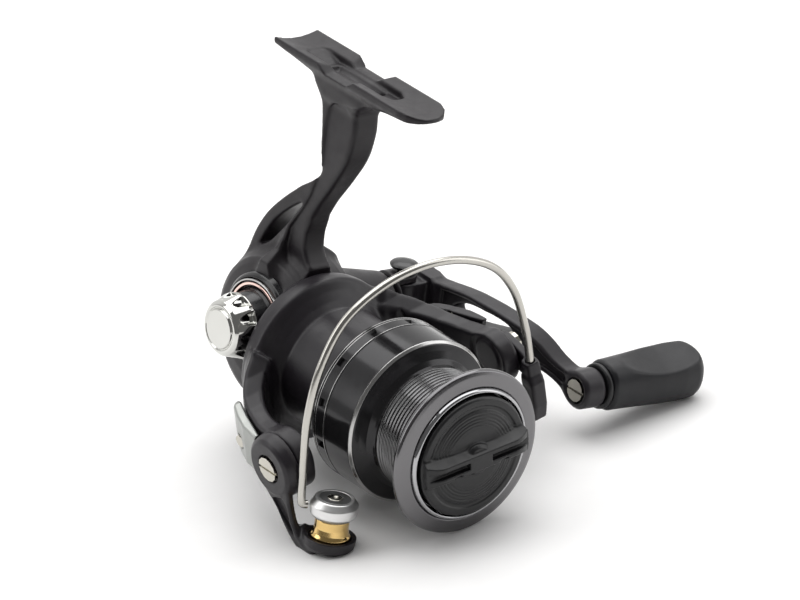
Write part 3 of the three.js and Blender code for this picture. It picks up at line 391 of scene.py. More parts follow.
def tube(name, path, radius, body, nodes, material, sides=20, steps=260):
    """Round rod along a smooth path, with rounded ends."""
    path = np.asarray(path, float)
    ends = np.concatenate([[2 * path[0] - path[1]], path, [2 * path[-1] - path[-2]]])
    centres = []
    for t in np.linspace(0, len(path) - 1, steps):
        i = min(int(t), len(path) - 2)
        centres.append(spline(*ends[i:i + 4], t - i))
    centres = np.array(centres)
    tangent = np.gradient(centres, axis=0)
    tangent /= np.linalg.norm(tangent, axis=1, keepdims=True)
    side = np.cross(tangent[0], (1.0, 0.2, 0.1))
    angle = np.arange(sides) / sides * 2 * math.pi
    points, normals = [], []
    for n, (centre, along) in enumerate(zip(centres, tangent)):
        side = side - along * (side @ along)
        side /= np.linalg.norm(side)
        up = np.cross(along, side)
        # The last two rings at both ends are smaller.
        shrink = 1 - 0.5 * max(0, 2 - min(n, steps - 1 - n)) / 2
        out = np.outer(np.cos(angle), side) + np.outer(np.sin(angle), up)
        points.append(centre + out * radius * shrink)
        normals.append(out)
    points.append(centres[[0, -1]])
    normals.append([-tangent[0], tangent[-1]])
    points, normals = np.concatenate(points), np.concatenate(normals)
    around = np.arange(sides)
    after = (around + 1) % sides
    i, j = (n.ravel() for n in np.meshgrid(np.arange(steps - 1), around, indexing="ij"))
    m = (j + 1) % sides
    quads = np.stack([i * sides + j, i * sides + m, (i + 1) * sides + m, (i + 1) * sides + j], 1)
    first, last = steps * sides, steps * sides + 1
    end = (steps - 1) * sides
    triangles = np.concatenate([
        np.stack([np.full(sides, first), after, around], 1),
        np.stack([np.full(sides, last), end + around, end + after], 1)])
    return add_piece(name, points, quads, triangles, normals, body, nodes, material)


# ---------------------------------------------------------------- solids as distances
class Field:
    """A block of space in mm, sampled on a grid. Solids in it are signed distances."""

    def __init__(self, low, high, step):
        self.low, self.step = np.array(low, float), step
        axes = [np.arange(lo, hi + step, step, dtype=np.float32) for lo, hi in zip(low, high)]
        self.x, self.y, self.z = np.meshgrid(*axes, indexing="ij", sparse=True)


def polygon(px, py, corners):
    """Signed distance to a closed polygon, negative inside."""
    corners = np.asarray(corners, np.float32)
    px, py = np.broadcast_arrays(px, py)
    best = np.full(px.shape, 1e9, np.float32)
    inside = np.zeros(px.shape, bool)
    for (ax, ay), (bx, by) in zip(corners, np.roll(corners, -1, 0)):
        ex, ey = bx - ax, by - ay
        t = np.clip(((px - ax) * ex + (py - ay) * ey) / max(ex * ex + ey * ey, 1e-9), 0, 1)
        best = np.minimum(best, (px - ax - t * ex) ** 2 + (py - ay - t * ey) ** 2)
        if by != ay:
            inside ^= ((ay > py) != (by > py)) & (px < ex * (py - ay) / ey + ax)
    return np.where(inside, -np.sqrt(best), np.sqrt(best)).astype(np.float32)


def turned(along, radius, profile, step=0.2):
    """Distance to a solid of revolution. Its (along, radius) profile is looked up in a table; a
    profile that touches the axis goes through it."""
    corners = [(a, r if r > 1e-6 else -60.0) for a, r in profile]
    a0, r0 = float(along.min()), float(radius.min())
    a_axis = np.arange(a0, float(along.max()) + 2 * step, step, dtype=np.float32)
    r_axis = np.arange(r0, float(radius.max()) + 2 * step, step, dtype=np.float32)
    table = polygon(a_axis[:, None], r_axis[None, :], corners)
    a, r = (along - a0) / step, (radius - r0) / step
    i, j = a.astype(np.int32), r.astype(np.int32)
    u, v = a - i, r - j
    return ((table[i, j] * (1 - v) + table[i, j + 1] * v) * (1 - u)
            + (table[i + 1, j] * (1 - v) + table[i + 1, j + 1] * v) * u)


def join(a, b, k=0.0):
    if k <= 0:
        return np.minimum(a, b)
    h = np.maximum(k - np.abs(a - b), 0)
    return np.minimum(a, b) - h * h / (4 * k)


def cut(a, b, k=0.0):
    return -join(-a, b, k)


def common(a, b, k=0.0):
    return -join(-a, -b, k)


def rounded(a, b, r):
    """Where both are, with the edge between them rounded."""
    u, v = np.maximum(a + r, 0), np.maximum(b + r, 0)
    return np.minimum(np.maximum(a, b) + r, 0) + np.sqrt(u * u + v * v) - r


def within(*dists):
    """Where all of them are, with sharp edges."""
    result = dists[0]
    for dist in dists[1:]:
        result = np.maximum(result, dist)
    return result


def slab(a, low, high):
    return np.abs(a - (low + high) / 2) - (high - low) / 2


def curve(points, count=160):
    """Points of a closed smooth curve through corners."""
    p = np.asarray(points, float)
    out = []
    for t in np.linspace(0, len(p), count, endpoint=False):
        i = int(t)
        out.append(spline(p[i - 1], p[i % len(p)], p[(i + 1) % len(p)], p[(i + 2) % len(p)], t - i))
    return out


CORNERS = [(i, j, k) for i in (0, 1) for j in (0, 1) for k in (0, 1)]
EDGES = [(a, b) for a in range(8) for b in range(a + 1, 8)
         if sum(abs(CORNERS[a][n] - CORNERS[b][n]) for n in range(3)) == 1]


def crossed_cells(inside):
    """The cells that the surface passes through, and the number of each cell, or -1."""
    size = np.array(inside.shape)
    total = np.zeros(size - 1, np.int8)
    for i, j, k in CORNERS:
        total += inside[i:size[0] - 1 + i, j:size[1] - 1 + j, k:size[2] - 1 + k]
    active = (total > 0) & (total < 8)
    cells = np.argwhere(active)
    number = np.full(active.shape, -1, np.int32)
    number[active] = np.arange(len(cells))
    return cells, number


def mean_crossing(value):
    """Mean of the points where the surface cuts a cell's edges, from its eight corner values."""
    local, hits = np.zeros((len(value), 3)), np.zeros(len(value))
    for a, b in EDGES:
        va, vb = value[:, a], value[:, b]
        hit = (va < 0) != (vb < 0)
        t = np.where(hit, va / np.where(hit, va - vb, 1), 0)
        start, end = np.array(CORNERS[a]), np.array(CORNERS[b])
        local += (start + t[:, None] * (end - start)) * hit[:, None]
        hits += hit
    return local / hits[:, None]


def slope_at(dist, cells):
    """Slope of the field at grid points."""
    parts = []
    for n in range(3):
        ahead, back = cells.copy(), cells.copy()
        ahead[:, n] = np.minimum(ahead[:, n] + 1, dist.shape[n] - 1)
        back[:, n] = np.maximum(back[:, n] - 1, 0)
        parts.append(dist[tuple(ahead.T)] - dist[tuple(back.T)])
    return np.stack(parts, 1) / 2


def corner_weights(at):
    return [np.prod([at[:, n] if c[n] else 1 - at[:, n] for n in range(3)], 0) for c in CORNERS]


def facing_quads(inside, number):
    """One quad across each grid edge that the surface cuts, with its front to the outside."""
    size = inside.shape
    quads = []
    for n in range(3):
        m, o = (n + 1) % 3, (n + 2) % 3
        index = [slice(1, None)] * 3
        index[n] = slice(0, -1)
        change = inside != np.roll(inside, -1, n)
        mask = np.zeros_like(change)
        mask[tuple(index)] = change[tuple(index)]
        at = np.argwhere(mask)
        at = at[(at[:, m] < size[m] - 1) & (at[:, o] < size[o] - 1)]
        ring = []
        for dm, do in ((1, 1), (0, 1), (0, 0), (1, 0)):
            cell = at.copy()
            cell[:, m] -= dm
            cell[:, o] -= do
            ring.append(number[tuple(cell.T)])
        face = np.stack(ring, 1)
        backward = ~inside[tuple(at.T)]
        face[backward] = face[backward][:, ::-1]
        quads.append(face)
    quads = np.concatenate(quads)
    return quads[(quads >= 0).all(1)]


def skin(name, field, dist, body, nodes, material=None, turn=same, origin=(0, 0, 0)):
    """Shown piece from a field's zero surface, with its normals from the field's slope. It is
    turned and then moved to its origin."""
    shape = np.broadcast_shapes(dist.shape, field.x.shape, field.y.shape, field.z.shape)
    dist = np.ascontiguousarray(np.broadcast_to(dist, shape), np.float32)
    inside = dist < 0
    inside[[0, -1]] = False
    inside[:, [0, -1]] = False
    inside[:, :, [0, -1]] = False
    dist = np.where(inside, dist, np.maximum(dist, 1e-4))
    cells, number = crossed_cells(inside)
    corner_cells = [cells + np.array(c) for c in CORNERS]
    value = np.stack([dist[tuple(c.T)] for c in corner_cells], 1)
    slopes = [slope_at(dist, c) for c in corner_cells]
    local = mean_crossing(value)
    # Each point slides along the slope on to the surface, inside its cell.
    for _ in range(2):
        w = corner_weights(local)
        here = sum(value[:, n] * w[n] for n in range(8))
        slope = sum(slopes[n] * w[n][:, None] for n in range(8))
        move = -here[:, None] * slope / np.maximum((slope ** 2).sum(1, keepdims=True), 1e-3)
        local = np.clip(local + np.clip(move, -0.5, 0.5), 0.02, 0.98)
    w = corner_weights(local)
    normals = sum(slopes[n] * w[n][:, None] for n in range(8))
    normals /= np.linalg.norm(normals, axis=1, keepdims=True) + 1e-9
    points = turn(field.low + (cells + local) * field.step) + np.array(origin, float)
    return add_piece(name, points, facing_quads(inside, number), [], turn(normals), body, nodes,
                     material)


# ---------------------------------------------------------------- body frame
# Front edge of the stem from the housing up to the foot, in X and Z.
STEM_FRONT = [
    (5, 23.8), (3.4, 24.8), (1.2, 27.6), (0.8, 33), (4.6, 41.4), (9.8, 49.6), (14.4, 58),
    (16.2, 66), (16, 72), (17, 77.5)]


def foot_solid(x, wide, z):
    """Foot: its plan, side view and sides that slope in, less the waist and the seat's trough."""
    plan = polygon(x, wide, [
        (-17.6, -9), (-17.6, 7.25), (35.4, 7.25),
        (38.6, 6.3), (40.8, 4.4), (41.9, 2), (42.1, 0), (42.1, -9)])
    side = polygon(x, z, [
        (-20, 90), (-20, SEAT - 0.9), (-17.6, SEAT - 0.9), (-9, SEAT - 2.2), (-1, SEAT - 4),
        (3, SEAT - 7), (14, SEAT - 7.6), (19, SEAT - 5), (30, SEAT - 2.6), (36, SEAT - 1.9),
        (42.2, SEAT - 1.2), (46, 90)])
    top = z - (SEAT + 1.15 * np.clip((wide - 1.6) / 5.6, 0, 1) ** 1.5)
    taper = polygon(wide, z, [
        (-9, 90), (7.6, 90), (7.3, SEAT - 0.7), (5.6, SEAT - 3.2), (4.4, SEAT - 9), (-9, SEAT - 9)])
    foot = rounded(rounded(plan, common(side, taper, 1.2), 0.4), top, 0.3)
    trough_floor = SEAT - 1.9 + np.clip((-2 - x) / 6, 0, 1) * 1.6
    trough = rounded(polygon(x, wide, [
        (-9, -6), (-9, 2.2), (-7.4, 3.4), (24, 3.2), (27, 1.8), (27.4, 0), (27.4, -6)]),
        trough_floor - z, 0.3)
    well = within(polygon(x, wide, [
        (-0.5, -6), (-0.5, 1.8), (0.6, 2.2), (19.4, 2.2), (20.2, 1.4), (20.2, -6)]), SEAT - 7.5 - z)
    waist = within(polygon(x, z, [
        (-0.5, 86), (1.6, SEAT + 0.9), (4.6, SEAT - 1.1), (13.4, SEAT - 1.1), (16.2, SEAT + 0.9),
        (18.4, 86)]), 2.8 - wide)
    return cut(cut(cut(foot, waist, 0.4), trough, 0.5), well, 0.2)


def stem_solid(x, wide, z):
    """Stem with a saddle on the housing, a sunk panel on both sides and a hollow behind."""
    outline = polygon(x, z, curve([
        (0.4, 77.5), (2.4, 70), (4, 60), (4.2, 51), (-3.4, 44.4), (-10.8, 37.4), (-16, 31),
        (-19.8, 23), (-22, 12), (-18, 4), (-8, 2), (-1, 8), (2.6, 16), (4, 21.4)] + STEM_FRONT))
    front = polygon(x, z, curve([(-60, 12), (5, 14)] + STEM_FRONT + [(-60, 80)], 120))
    thick = 4.3 + 0.55 * np.clip((z - 44) / 16, 0, 1)
    stem = common(rounded(outline, wide - thick, 0.7), rounded(front, wide - thick, 2.2), 0.2)
    saddle = polygon(wide, z, [
        (-9, 37), (2.6, 36), (4.1, 32), (4.9, 29), (6.6, 26.2), (9.4, 24), (12, 22.2), (12, 18), (-9, 18)])
    saddle_side = polygon(x, z, [
        (-9, 17), (4.3, 17), (4.5, 23), (2.6, 25.4), (0.9, 28), (0.8, 33), (2, 37), (-3, 37), (-7, 26)])
    stem = join(stem, rounded(saddle_side, saddle, 0.5), 2.5)
    panel = polygon(x, z, [
        (-1.6, 17), (-4.2, 23.6), (-5.2, 27.8), (-4.5, 32.7), (-0.6, 39), (2, 44.1), (5.4, 54.1), (5, 65.2),
        (5.6, 70.4), (7.2, 73), (10, 74.6), (14, 75.4), (30, 76), (30, 17)])
    stem = cut(stem, within(panel, thick - 0.75 - wide), 0.7)
    window = polygon(x, z, curve([
        (-1.2, 40.6), (-6, 37.2), (-11.4, 31.8), (-15, 26), (-16, 23), (-12.4, 25.4), (-8.4, 30.2),
        (-4.4, 35.4)], 60))
    return cut(stem, window, 1.0)


def housing_solid(x, y, z, around_x, around_housing, around_handle):
    """Round gearbox housing with its boss towards the handle and its nose into the rotor."""
    drum = turned(y, around_housing, [
        (-9.3, 0), (-9.3, 14.4), (-8.5, 18.4), (-7.6, 20), (-5.6, 20.8), (7.6, 20.8), (10.4, 19.6),
        (12.6, 16.4), (12.6, 0)])
    boss = turned(y, around_handle, [(6, 0), (6, 12), (15, 10.8), (29.4, 7.7), (30.2, 7), (30.2, 0)])
    nose = turned(x, around_x, [
        (-6, 0), (-6, 17), (4, 19.6), (6.2, 20.2), (9.2, 14.2), (9.7, 12.8), (13.4, 12.8), (13.4, 0)])
    nose = within(nose, slab(y, -9.3, 15), slab(z, -15.5, 20))
    return join(join(drum, nose, 1.2), boss, 2.5)


def gear_rooms(x, y, around_x, around_housing, around_handle):
    """Rooms for the gears, the shafts and the bearings."""
    behind = turned(y, around_housing, [
        (-7.2, 0), (-7.2, 16.6), (-5.2, 18.6), (7.8, 18.6), (9.8, 16.4), (9.8, 0)])
    return [
        within(behind, x + 8.2),
        within(around_handle - 11, y + 3.4),
        within(around_handle - 11.8, y + 7.6),
        within(around_x - 4.4, slab(x, -10, 20)),
        within(around_x - 7.4, 6.7 - x),
        within(around_x - 11.4, 9.7 - x),
        within(around_handle - 5.2, -4 - y),
        within(around_handle - 7.4, slab(y, 9, 12.8)),
    ]


def body_frame():
    f = Field((-28, -10.6, -19.6), (43.6, 31.2, 83.4), 0.43)
    x, y, z = f.x, f.y, f.z
    wide, around_x = np.abs(y), np.hypot(y, z)
    around_housing = np.hypot(x - HOUSING_X, z - HOUSING_Z)
    around_handle = np.hypot(x - HANDLE_X, z - HANDLE_Z)
    housing = housing_solid(x, y, z, around_x, around_housing, around_handle)
    solid = join(housing, stem_solid(x, wide, z), 3.2)
    # Nothing reaches forward into the turning rotor.
    solid = within(solid, turned(x, around_x, [
        (-70, 0), (-70, 95), (60, 95), (60, 27), (5.6, 24.8), (4.8, 22.8), (4.7, 20.6), (6.4, 20.3),
        (9.4, 14.2), (9.8, 12.8), (13.6, 12.8), (13.6, 0)]))
    solid = join(solid, foot_solid(x, wide, z), 3.4)
    for room in gear_rooms(x, y, around_x, around_housing, around_handle):
        solid = cut(solid, room)
    skin("body_frame_skin", f, solid, "frame", ["body_frame"])


# ---------------------------------------------------------------- left side of the housing
def left_side():
    lathe("side_cover_skin", [
        (-8, 8.6), (-8, 11.4), (-9.6, 11.4), (-9.6, 13.7), (-11.4, 13.2), (-12, 12.6), (-12.1, 12.1),
        (-11.7, 12), (-11.7, 9.6), (-12.3, 9.4), (-13, 9), (-16.7, 8), (-16.7, 3.2), (-12, 3.2),
        (-12, 7.4), (-9, 7.4), (-9, 8.6),
    ], "y", HANDLE_AXIS, "frame", ["side_cover"], PAINT["trim_black"], 0.25)
    lathe("accent_ring_outer", [(-12, 11.25), (-12, 11.85), (-12.7, 11.75), (-12.7, 11.35)],
          "y", HANDLE_AXIS, "frame", ["accent_ring"], BRIGHT_CUT, 0.12)
    lathe("accent_ring_inner", [(-12, 9.95), (-12, 10.9), (-12.6, 10.8), (-12.6, 10.1)],
          "y", HANDLE_AXIS, "frame", ["accent_ring"], PAINT["copper"], 0.15)


FLUTES = 10


def screw_cap():
    """Conical cap with flutes round its side and a bore that goes on the screw."""
    f = Field((-9.8, -24.7, -9.8), (9.8, -16.4, 9.8), 0.2)
    radius, angle = np.hypot(f.x, f.z), np.arctan2(f.z, f.x)
    cap = turned(f.y, radius, [
        (-17, 0), (-17, 8.3), (-17.5, 8.9), (-18.6, 8.9), (-23, 7.4), (-23.7, 6.6), (-23.8, 5.9),
        (-23.45, 5.7), (-23.45, 5.45), (-24.1, 5.2), (-24.1, 0)], 0.1)
    pitch = 2 * math.pi / FLUTES
    nearest = (angle + pitch / 2) % pitch - pitch / 2
    across, out = radius * np.sin(nearest), radius * np.cos(nearest)
    deep = np.clip((f.y + 23.6) / 5.2, 0, 1)
    flute = np.hypot(across, out - 9.4) - (1.72 + 0.25 * deep)
    cap = cut(cap, within(flute, f.y + 17.8), 0.25)
    cap = cut(cap, within(radius - 2.8, -18 - f.y))
    skin("handle_screw_cap_skin", f, cap, "screw_cap", ["handle_screw_cap"], origin=HANDLE_AXIS)


# ---------------------------------------------------------------- rotor
ARM_END = 8.4
END_ANGLES = np.radians(np.linspace(-115, 105, 40))


def arm_end(radii):
    """Round end of an arm's front view, about the bail pivot."""
    return [(PIVOT_X + r * math.cos(a), r * math.sin(a)) for r, a in zip(radii, END_ANGLES)]


def rotor_arms(x, w, right, out, radius, around_pivot):
    """Both arms: side view, front view, the reach from the shaft and a flange at the pivots."""
    side = polygon(x, out, softened([
        (9.4, 21.6), (9.4, 23.4), (11, 25.8), (14, 28.6), (18.4, 31.2), (24, 33.6), (31, 35.8),
        (36, 36.5), (50.4, 36.5), (50.4, 31.2), (35, 31.2), (29, 30.2), (23.4, 27.8), (18.6, 24.6),
        (15.6, 20.2), (14.6, 18.2), (11.6, 21.4)], 5, True, 6))
    lower = [
        (8, -22), (10, -17), (12.6, -12.8), (16, -9.6), (20, -7.4), (24, -6.4), (31, -6.2),
        (35, -6.6), (38, -7.6)]
    left_top = [(36, 8.2), (30, 8.2), (22, 8.8), (16, 11), (12.6, 14), (10, 18), (8, 22)]
    right_top = [(36, 4.9), (30, 4.5), (24, 5), (18, 6.6), (13.4, 10), (10, 15), (8, 20)]
    smaller = ARM_END - 2 * np.clip(np.linspace(-0.6, 1.4, len(END_ANGLES)), 0, 1)
    left_line = lower + arm_end([ARM_END] * len(END_ANGLES)) + left_top
    right_line = lower + arm_end(smaller) + right_top
    front = np.where(right, polygon(x, w, right_line), polygon(x, -w, left_line))
    reach = polygon(x, radius, [
        (4, 0), (8.2, 23.2), (10.6, 24.6), (14, 28.4), (18.4, 32.2), (24, 36), (31, 40), (60, 44),
        (60, 0)])
    arms = common(rounded(side, front, 0.9), reach, 1.2)
    flange = within(around_pivot - 6.6, 4.9 - around_pivot, out - 31.6)
    arms = cut(arms, flange, 0.2)
    return cut(arms, within(radius - 24, 16.4 - x))


def rotor():
    f = Field((4.6, -37.4, -24.2), (50.8, 37.4, 24.2), 0.42)
    x, v, w = f.x, f.y, f.z
    out, radius = np.abs(v), np.hypot(v, w)
    around_pivot = np.hypot(x - PIVOT_X, w)
    hub = turned(x, radius, [
        (5.3, 21.3), (5.3, 22.4), (6.2, 22.9), (8.2, 23.2), (10.2, 23.2), (11, 22.6), (12.2, 20.6),
        (14, 18.6), (16, 17), (38, 17), (38.5, 16.4), (38.5, 15.2), (17.2, 15.2), (17.2, 4.1),
        (14.2, 4.1), (14.2, 14.4), (13.4, 15.4), (9.6, 21.3)])
    solid = join(hub, rotor_arms(x, w, v > 0, out, radius, around_pivot), 4.0)
    # Pockets in the outside of the arms: the right one stops below the arm's upper edge.
    pocket = within(slab(x, 25.5, 33), 31.9 - out, np.abs(w) - 3.6, np.where(v > 0, w - 1.4, -9))
    solid = cut(solid, pocket)
    solid = cut(solid, within(around_pivot - PIVOT_BORE, 32.6 - out))
    solid = cut(solid, turned(x, radius, [
        (4, -60), (4, 21.3), (9.6, 21.3), (13.4, 15.4), (14.2, 14.4), (14.2, -60)]))
    skin("rotor_skin", f, solid, "rotor", ["rotor"], turn=from_rotor)


def arm_cover(name, on_right):
    """Cover on the outside of an arm, with a seat for its screw."""
    f = Field((15.6, 30.6, -7.4), (33.8, 39.2, 8.6), 0.24)
    x, v, w = f.x, f.y, f.z
    side = polygon(x, v, [
        (16.2, 31.2), (17, 33), (18.4, 34.2), (22, 36), (27, 37.8), (31, 38.3), (33.6, 38.4),
        (33.6, 37.1), (31, 36.2), (24, 33.9), (18.4, 31.6)])
    front = polygon(x, w, [
        (16, -4.2), (17, -5.4), (18.6, -5.9), (26, -5.3), (34, -5), (34, 7), (26, 7), (18.4, 6.7),
        (16.8, 6), (16, 4.8)])
    cover = cut(rounded(side, front, 0.7), np.hypot(x - PIVOT_X, w) - 9.4, 0.2)
    if on_right:
        cover = cut(cover, 4.9 - w, 0.4)
    cover = cut(cover, np.hypot(x - 22.6, w - 2.6) - 2.15, 0.25)
    material = PAINT["rotor_graphite"] if on_right else None
    skin(name + "_skin", f, cover, "rotor", [name], material, from_rotor if on_right else from_left_arm)


# ---------------------------------------------------------------- bail
def bail_lever():
    """Lever outside the left arm, from its pivot boss down to the roller's dish."""
    f = Field((31.6, -43, -34.4), (64, -19.6, -1), 0.28)
    x, y, z = f.x, f.y, f.z
    v, w = y * COS + z * SIN, z * COS - y * SIN
    around_pivot = np.hypot(x - PIVOT_X, w)
    plate = polygon(x, w, curve([
        (PIVOT_X, 7.6), (46.2, 6), (48.7, 1.6), (48.5, -4), (48.2, -9), (48.6, -13), (49.8, -16.4),
        (52.4, -18.8), (55.6, -20), (54.8, -22.8), (49.8, -21.6), (46, -18.4), (42.2, -12.6),
        (38.4, -8), (34.6, -3), (36.4, 5)], 90))
    lever = rounded(plate, slab(v, -40.5, -36.8), 0.7)
    lever = cut(lever, within(around_pivot - 17.5, 8.8 - around_pivot, -38.7 - v))
    groove = polygon(x, w, [
        (40.6, -9.6), (45.2, -7.8), (46.9, -10), (47.2, -14), (48.6, -17.8), (47, -17), (44, -13.8)])
    lever = cut(lever, within(groove, v + 39.4), 0.7)
    boss = turned(v, around_pivot, [
        (-36.8, 0), (-36.8, 8.9), (-38, 8.8), (-40.2, 8.2), (-40.9, 7.3), (-40.9, 0)])
    lever = join(lever, boss, 0.5)
    around_roller = np.hypot(x - ROLLER_X, y - ROLLER_Y)
    dish = turned(z, around_roller, [
        (DISH_Z, 0), (DISH_Z, 5.2), (DISH_Z + 0.5, 6), (DISH_Z + 1.4, 6.6), (DISH_Z + 3.8, 6.95),
        (DISH_Z + 3.8, 5.9), (DISH_Z + 3, 5.6), (DISH_Z + 3, 0)])
    room = turned(z, around_roller, [
        (DISH_Z + 3, 0), (DISH_Z + 3, 5.65), (DISH_Z + 3.8, 5.9), (DISH_Z + 4, 7), (DISH_Z + 20, 7),
        (DISH_Z + 20, 0)])
    solid = cut(join(lever, dish, 2.6), room, 0.15)
    solid = cut(solid, within(around_pivot - PIVOT_BORE, -60 - v))
    solid = cut(solid, within(around_pivot - 4, v + 39.7), 0.15)
    solid = cut(solid, within(around_roller - 1.7, z - DISH_Z - 6))
    skin("bail_lever_skin", f, solid, "bail", ["bail_lever"])


def bail_holder():
    """Bar outside the right arm, with a block that takes the end of the wire."""
    f = Field((36.6, 34.4, -19), (56.4, 40, 5), 0.24)
    x, v, w = f.x, f.y, f.z
    bar = rounded(polygon(x, w, curve([
        (37.6, -3.4), (37.3, 0), (38.5, 3), (41.5, 4), (46, 3), (50.4, 1.4), (53.6, 0), (53.6, -5),
        (50, -5.2), (46, -4.4), (41.5, -4.4)], 80)), slab(v, 36.8, 39.3), 0.6)
    neck = rounded(polygon(x, w, [(50.6, 1), (54, 0.6), (54.6, -6), (50.4, -6)]), slab(v, 35.3, 39.2), 0.8)
    block = rounded(polygon(x, w, [
        (50.3, -3.4), (54.6, -3.4), (55.5, -5), (55.6, -12), (54.6, -16.4), (52.4, -18), (50.9, -17),
        (50.3, -13)]), slab(v, 35, 39.4), 0.9)
    solid = join(join(bar, neck, 0.8), block, 0.9)
    solid = cut(solid, within(np.hypot(x - 52.3, v - 37.3) - 1.3, -1.6 - w))
    solid = cut(solid, np.hypot(x - PIVOT_X, w) - PIVOT_BORE)
    skin("bail_holder_skin", f, solid, "bail", ["bail_holder"], turn=from_rotor)


def bail_wire():
    path = from_rotor([
        (52, -37, -7.9), (51.5, -38.1, -7.4), (51.4, -38.3, -6), (51.6, -37.4, -0.5), (51.9, -36.4, 6),
        (52.3, -33.6, 18), (52.8, -28.2, 30.5), (53.2, -19.4, 40.8), (53.6, -7, 45.6), (53.7, 6, 45.8),
        (53.4, 18.6, 41.8), (53, 28.8, 34.4), (52.8, 34.4, 24.4), (52.4, 36.8, 12), (52.3, 37.3, 4),
        (52.3, 37.3, -1.3)])
    tube("bail_wire_skin", path, 1.1, "bail", ["bail_wire"], WIRE_STEEL)


def roller_stack():
    """Line roller on its dish, with the cap over it and the screw through both."""
    centre = (ROLLER_X, ROLLER_Y, 0)
    base = DISH_Z + 3.3
    low = base + 5.9
    top = low + 5.3
    lathe("line_roller_skin", [
        (base, 3), (base, 5.3), (base + 0.8, 5.3), (base + 1.5, 4.8), (base + 3.2, 4.5),
        (base + 5.6, 4.6), (base + 5.6, 3)], "z", centre, "line_roller", ["line_roller"], None, 0.25, 96)
    lathe("roller_cap_skin", [
        (low, 1.7), (low, 5.3), (low + 0.5, 5.8), (low + 1.2, 6.3), (low + 3.6, 6.5), (top - 0.3, 5.5),
        (top, 5.2), (top, 4.3), (top - 0.16, 4.2), (top - 0.16, 1.7)],
        "z", centre, "bail", ["roller_cap"], CAP_SILVER, 0.3, 96)
    # The cap's top face is a flat disc, nearly flush, in the darker copy of the cap's silver: painted
    # shade.
    lathe("roller_cap_top_painted_shade", [
        (top - 0.14, 2.1), (top - 0.14, 4.1), (top - 0.02, 4.2), (top + 0.02, 4), (top - 0.04, 3.6),
        (top - 0.04, 2.1)], "z", centre, "bail", ["roller_cap"], CAP_TOP_PAINTED_SHADE, 0.08, 96)
    lathe("roller_screw_skin", [
        (DISH_Z + 0.6, 0), (DISH_Z + 0.6, 1.4), (top - 0.45, 1.4), (top - 0.25, 2.2), (top + 0.05, 2),
        (top + 0.2, 1.2), (top + 0.05, 0.7), (top - 0.2, 0.5), (top - 0.2, 0)],
        "z", centre, "bail", ["roller_screw"], None, 0.12, 64)


# ---------------------------------------------------------------- spool
def spool_ring(name, profile, material=None, soften=0.2, segments=160, pockets=None):
    """One turned stretch of the spool, about the shaft."""
    lathe(name, profile, "x", (0, 0, 0), "spool", ["spool"], material, soften, segments, pockets)


def spool():
    # Windows round the rear of the skirt: from, to, depth, count, width and turn in degrees.
    windows = (38.4, 41.2, 0.9, 12, 7, 81)
    spool_ring("spool_skirt", [
        (36.4, 21.4), (36.4, 22.3), (36.8, 22.8), (37.6, 22.8), (37.75, 22.55), (37.9, 22.8),
        (38.4, 22.8), (41.2, 22.8), (41.6, 22.8), (41.75, 22.6), (41.95, 22.6), (42.1, 22.8),
        (52, 22.8), (52.2, 22.7), (53.1, 21.8), (53.6, 20.4), (54.4, 18.4), (55.4, 17.2), (56, 16.8),
        (56, 12.6), (54, 12.6), (54, 14), (52.6, 21.4)], None, 0.12, 240, windows)
    for n, at in enumerate((37.35, 38.1, 41.5)):
        line = [(at - 0.1, 22.4), (at - 0.1, 22.86), (at + 0.1, 22.86), (at + 0.1, 22.4)]
        spool_ring(f"spool_line_{n}", line, BRIGHT_CUT, 0.04)
    spool_ring("spool_edge_ring", [
        (52.2, 22.5), (52.2, 22.82), (52.4, 22.74), (52.9, 22.2), (52.95, 22.05), (52.7, 22)],
        BRIGHT_CUT, 0.06)
    drum = [(56, 12.6), (56, 16.9)]
    for n in range(8):
        at = 56.9 + n * 1.18
        drum += [(at, 16.95), (at + 0.22, 16.55), (at + 0.62, 16.55), (at + 0.84, 16.95)]
    spool_ring("spool_drum", drum + [(66.4, 16.9), (67.2, 17.2), (67.2, 12.6)], DRUM_METAL, 0.1)
    spool_ring("spool_lip", [
        (67.2, 12.6), (67.2, 17.2), (68.2, 18.2), (69.4, 20.2), (70.6, 22.3), (71.3, 22.9), (72.1, 23),
        (72.8, 22.7), (73.2, 21.6), (73.5, 20.2), (73.8, 18.9), (73.6, 18.55), (72.4, 17.25),
        (70.2, 17.2), (70.2, 12.6)], LIP_METAL, 0.3, 200)
    spool_ring("spool_lip_rim", [
        (72.45, 17.2), (73.65, 18.5), (74, 18.42), (74.5, 18.25), (74.85, 17.85), (74.75, 17.4),
        (74.2, 17.2)], POLISHED, 0.2, 200)
    spool_ring("spool_core", [
        (51.4, 4.3), (51.4, 8.6), (54, 8.6), (54, 12.6), (70.2, 12.6), (70.2, 12.5), (60, 12.5),
        (60, 4.3)], None, 0.05, 96)


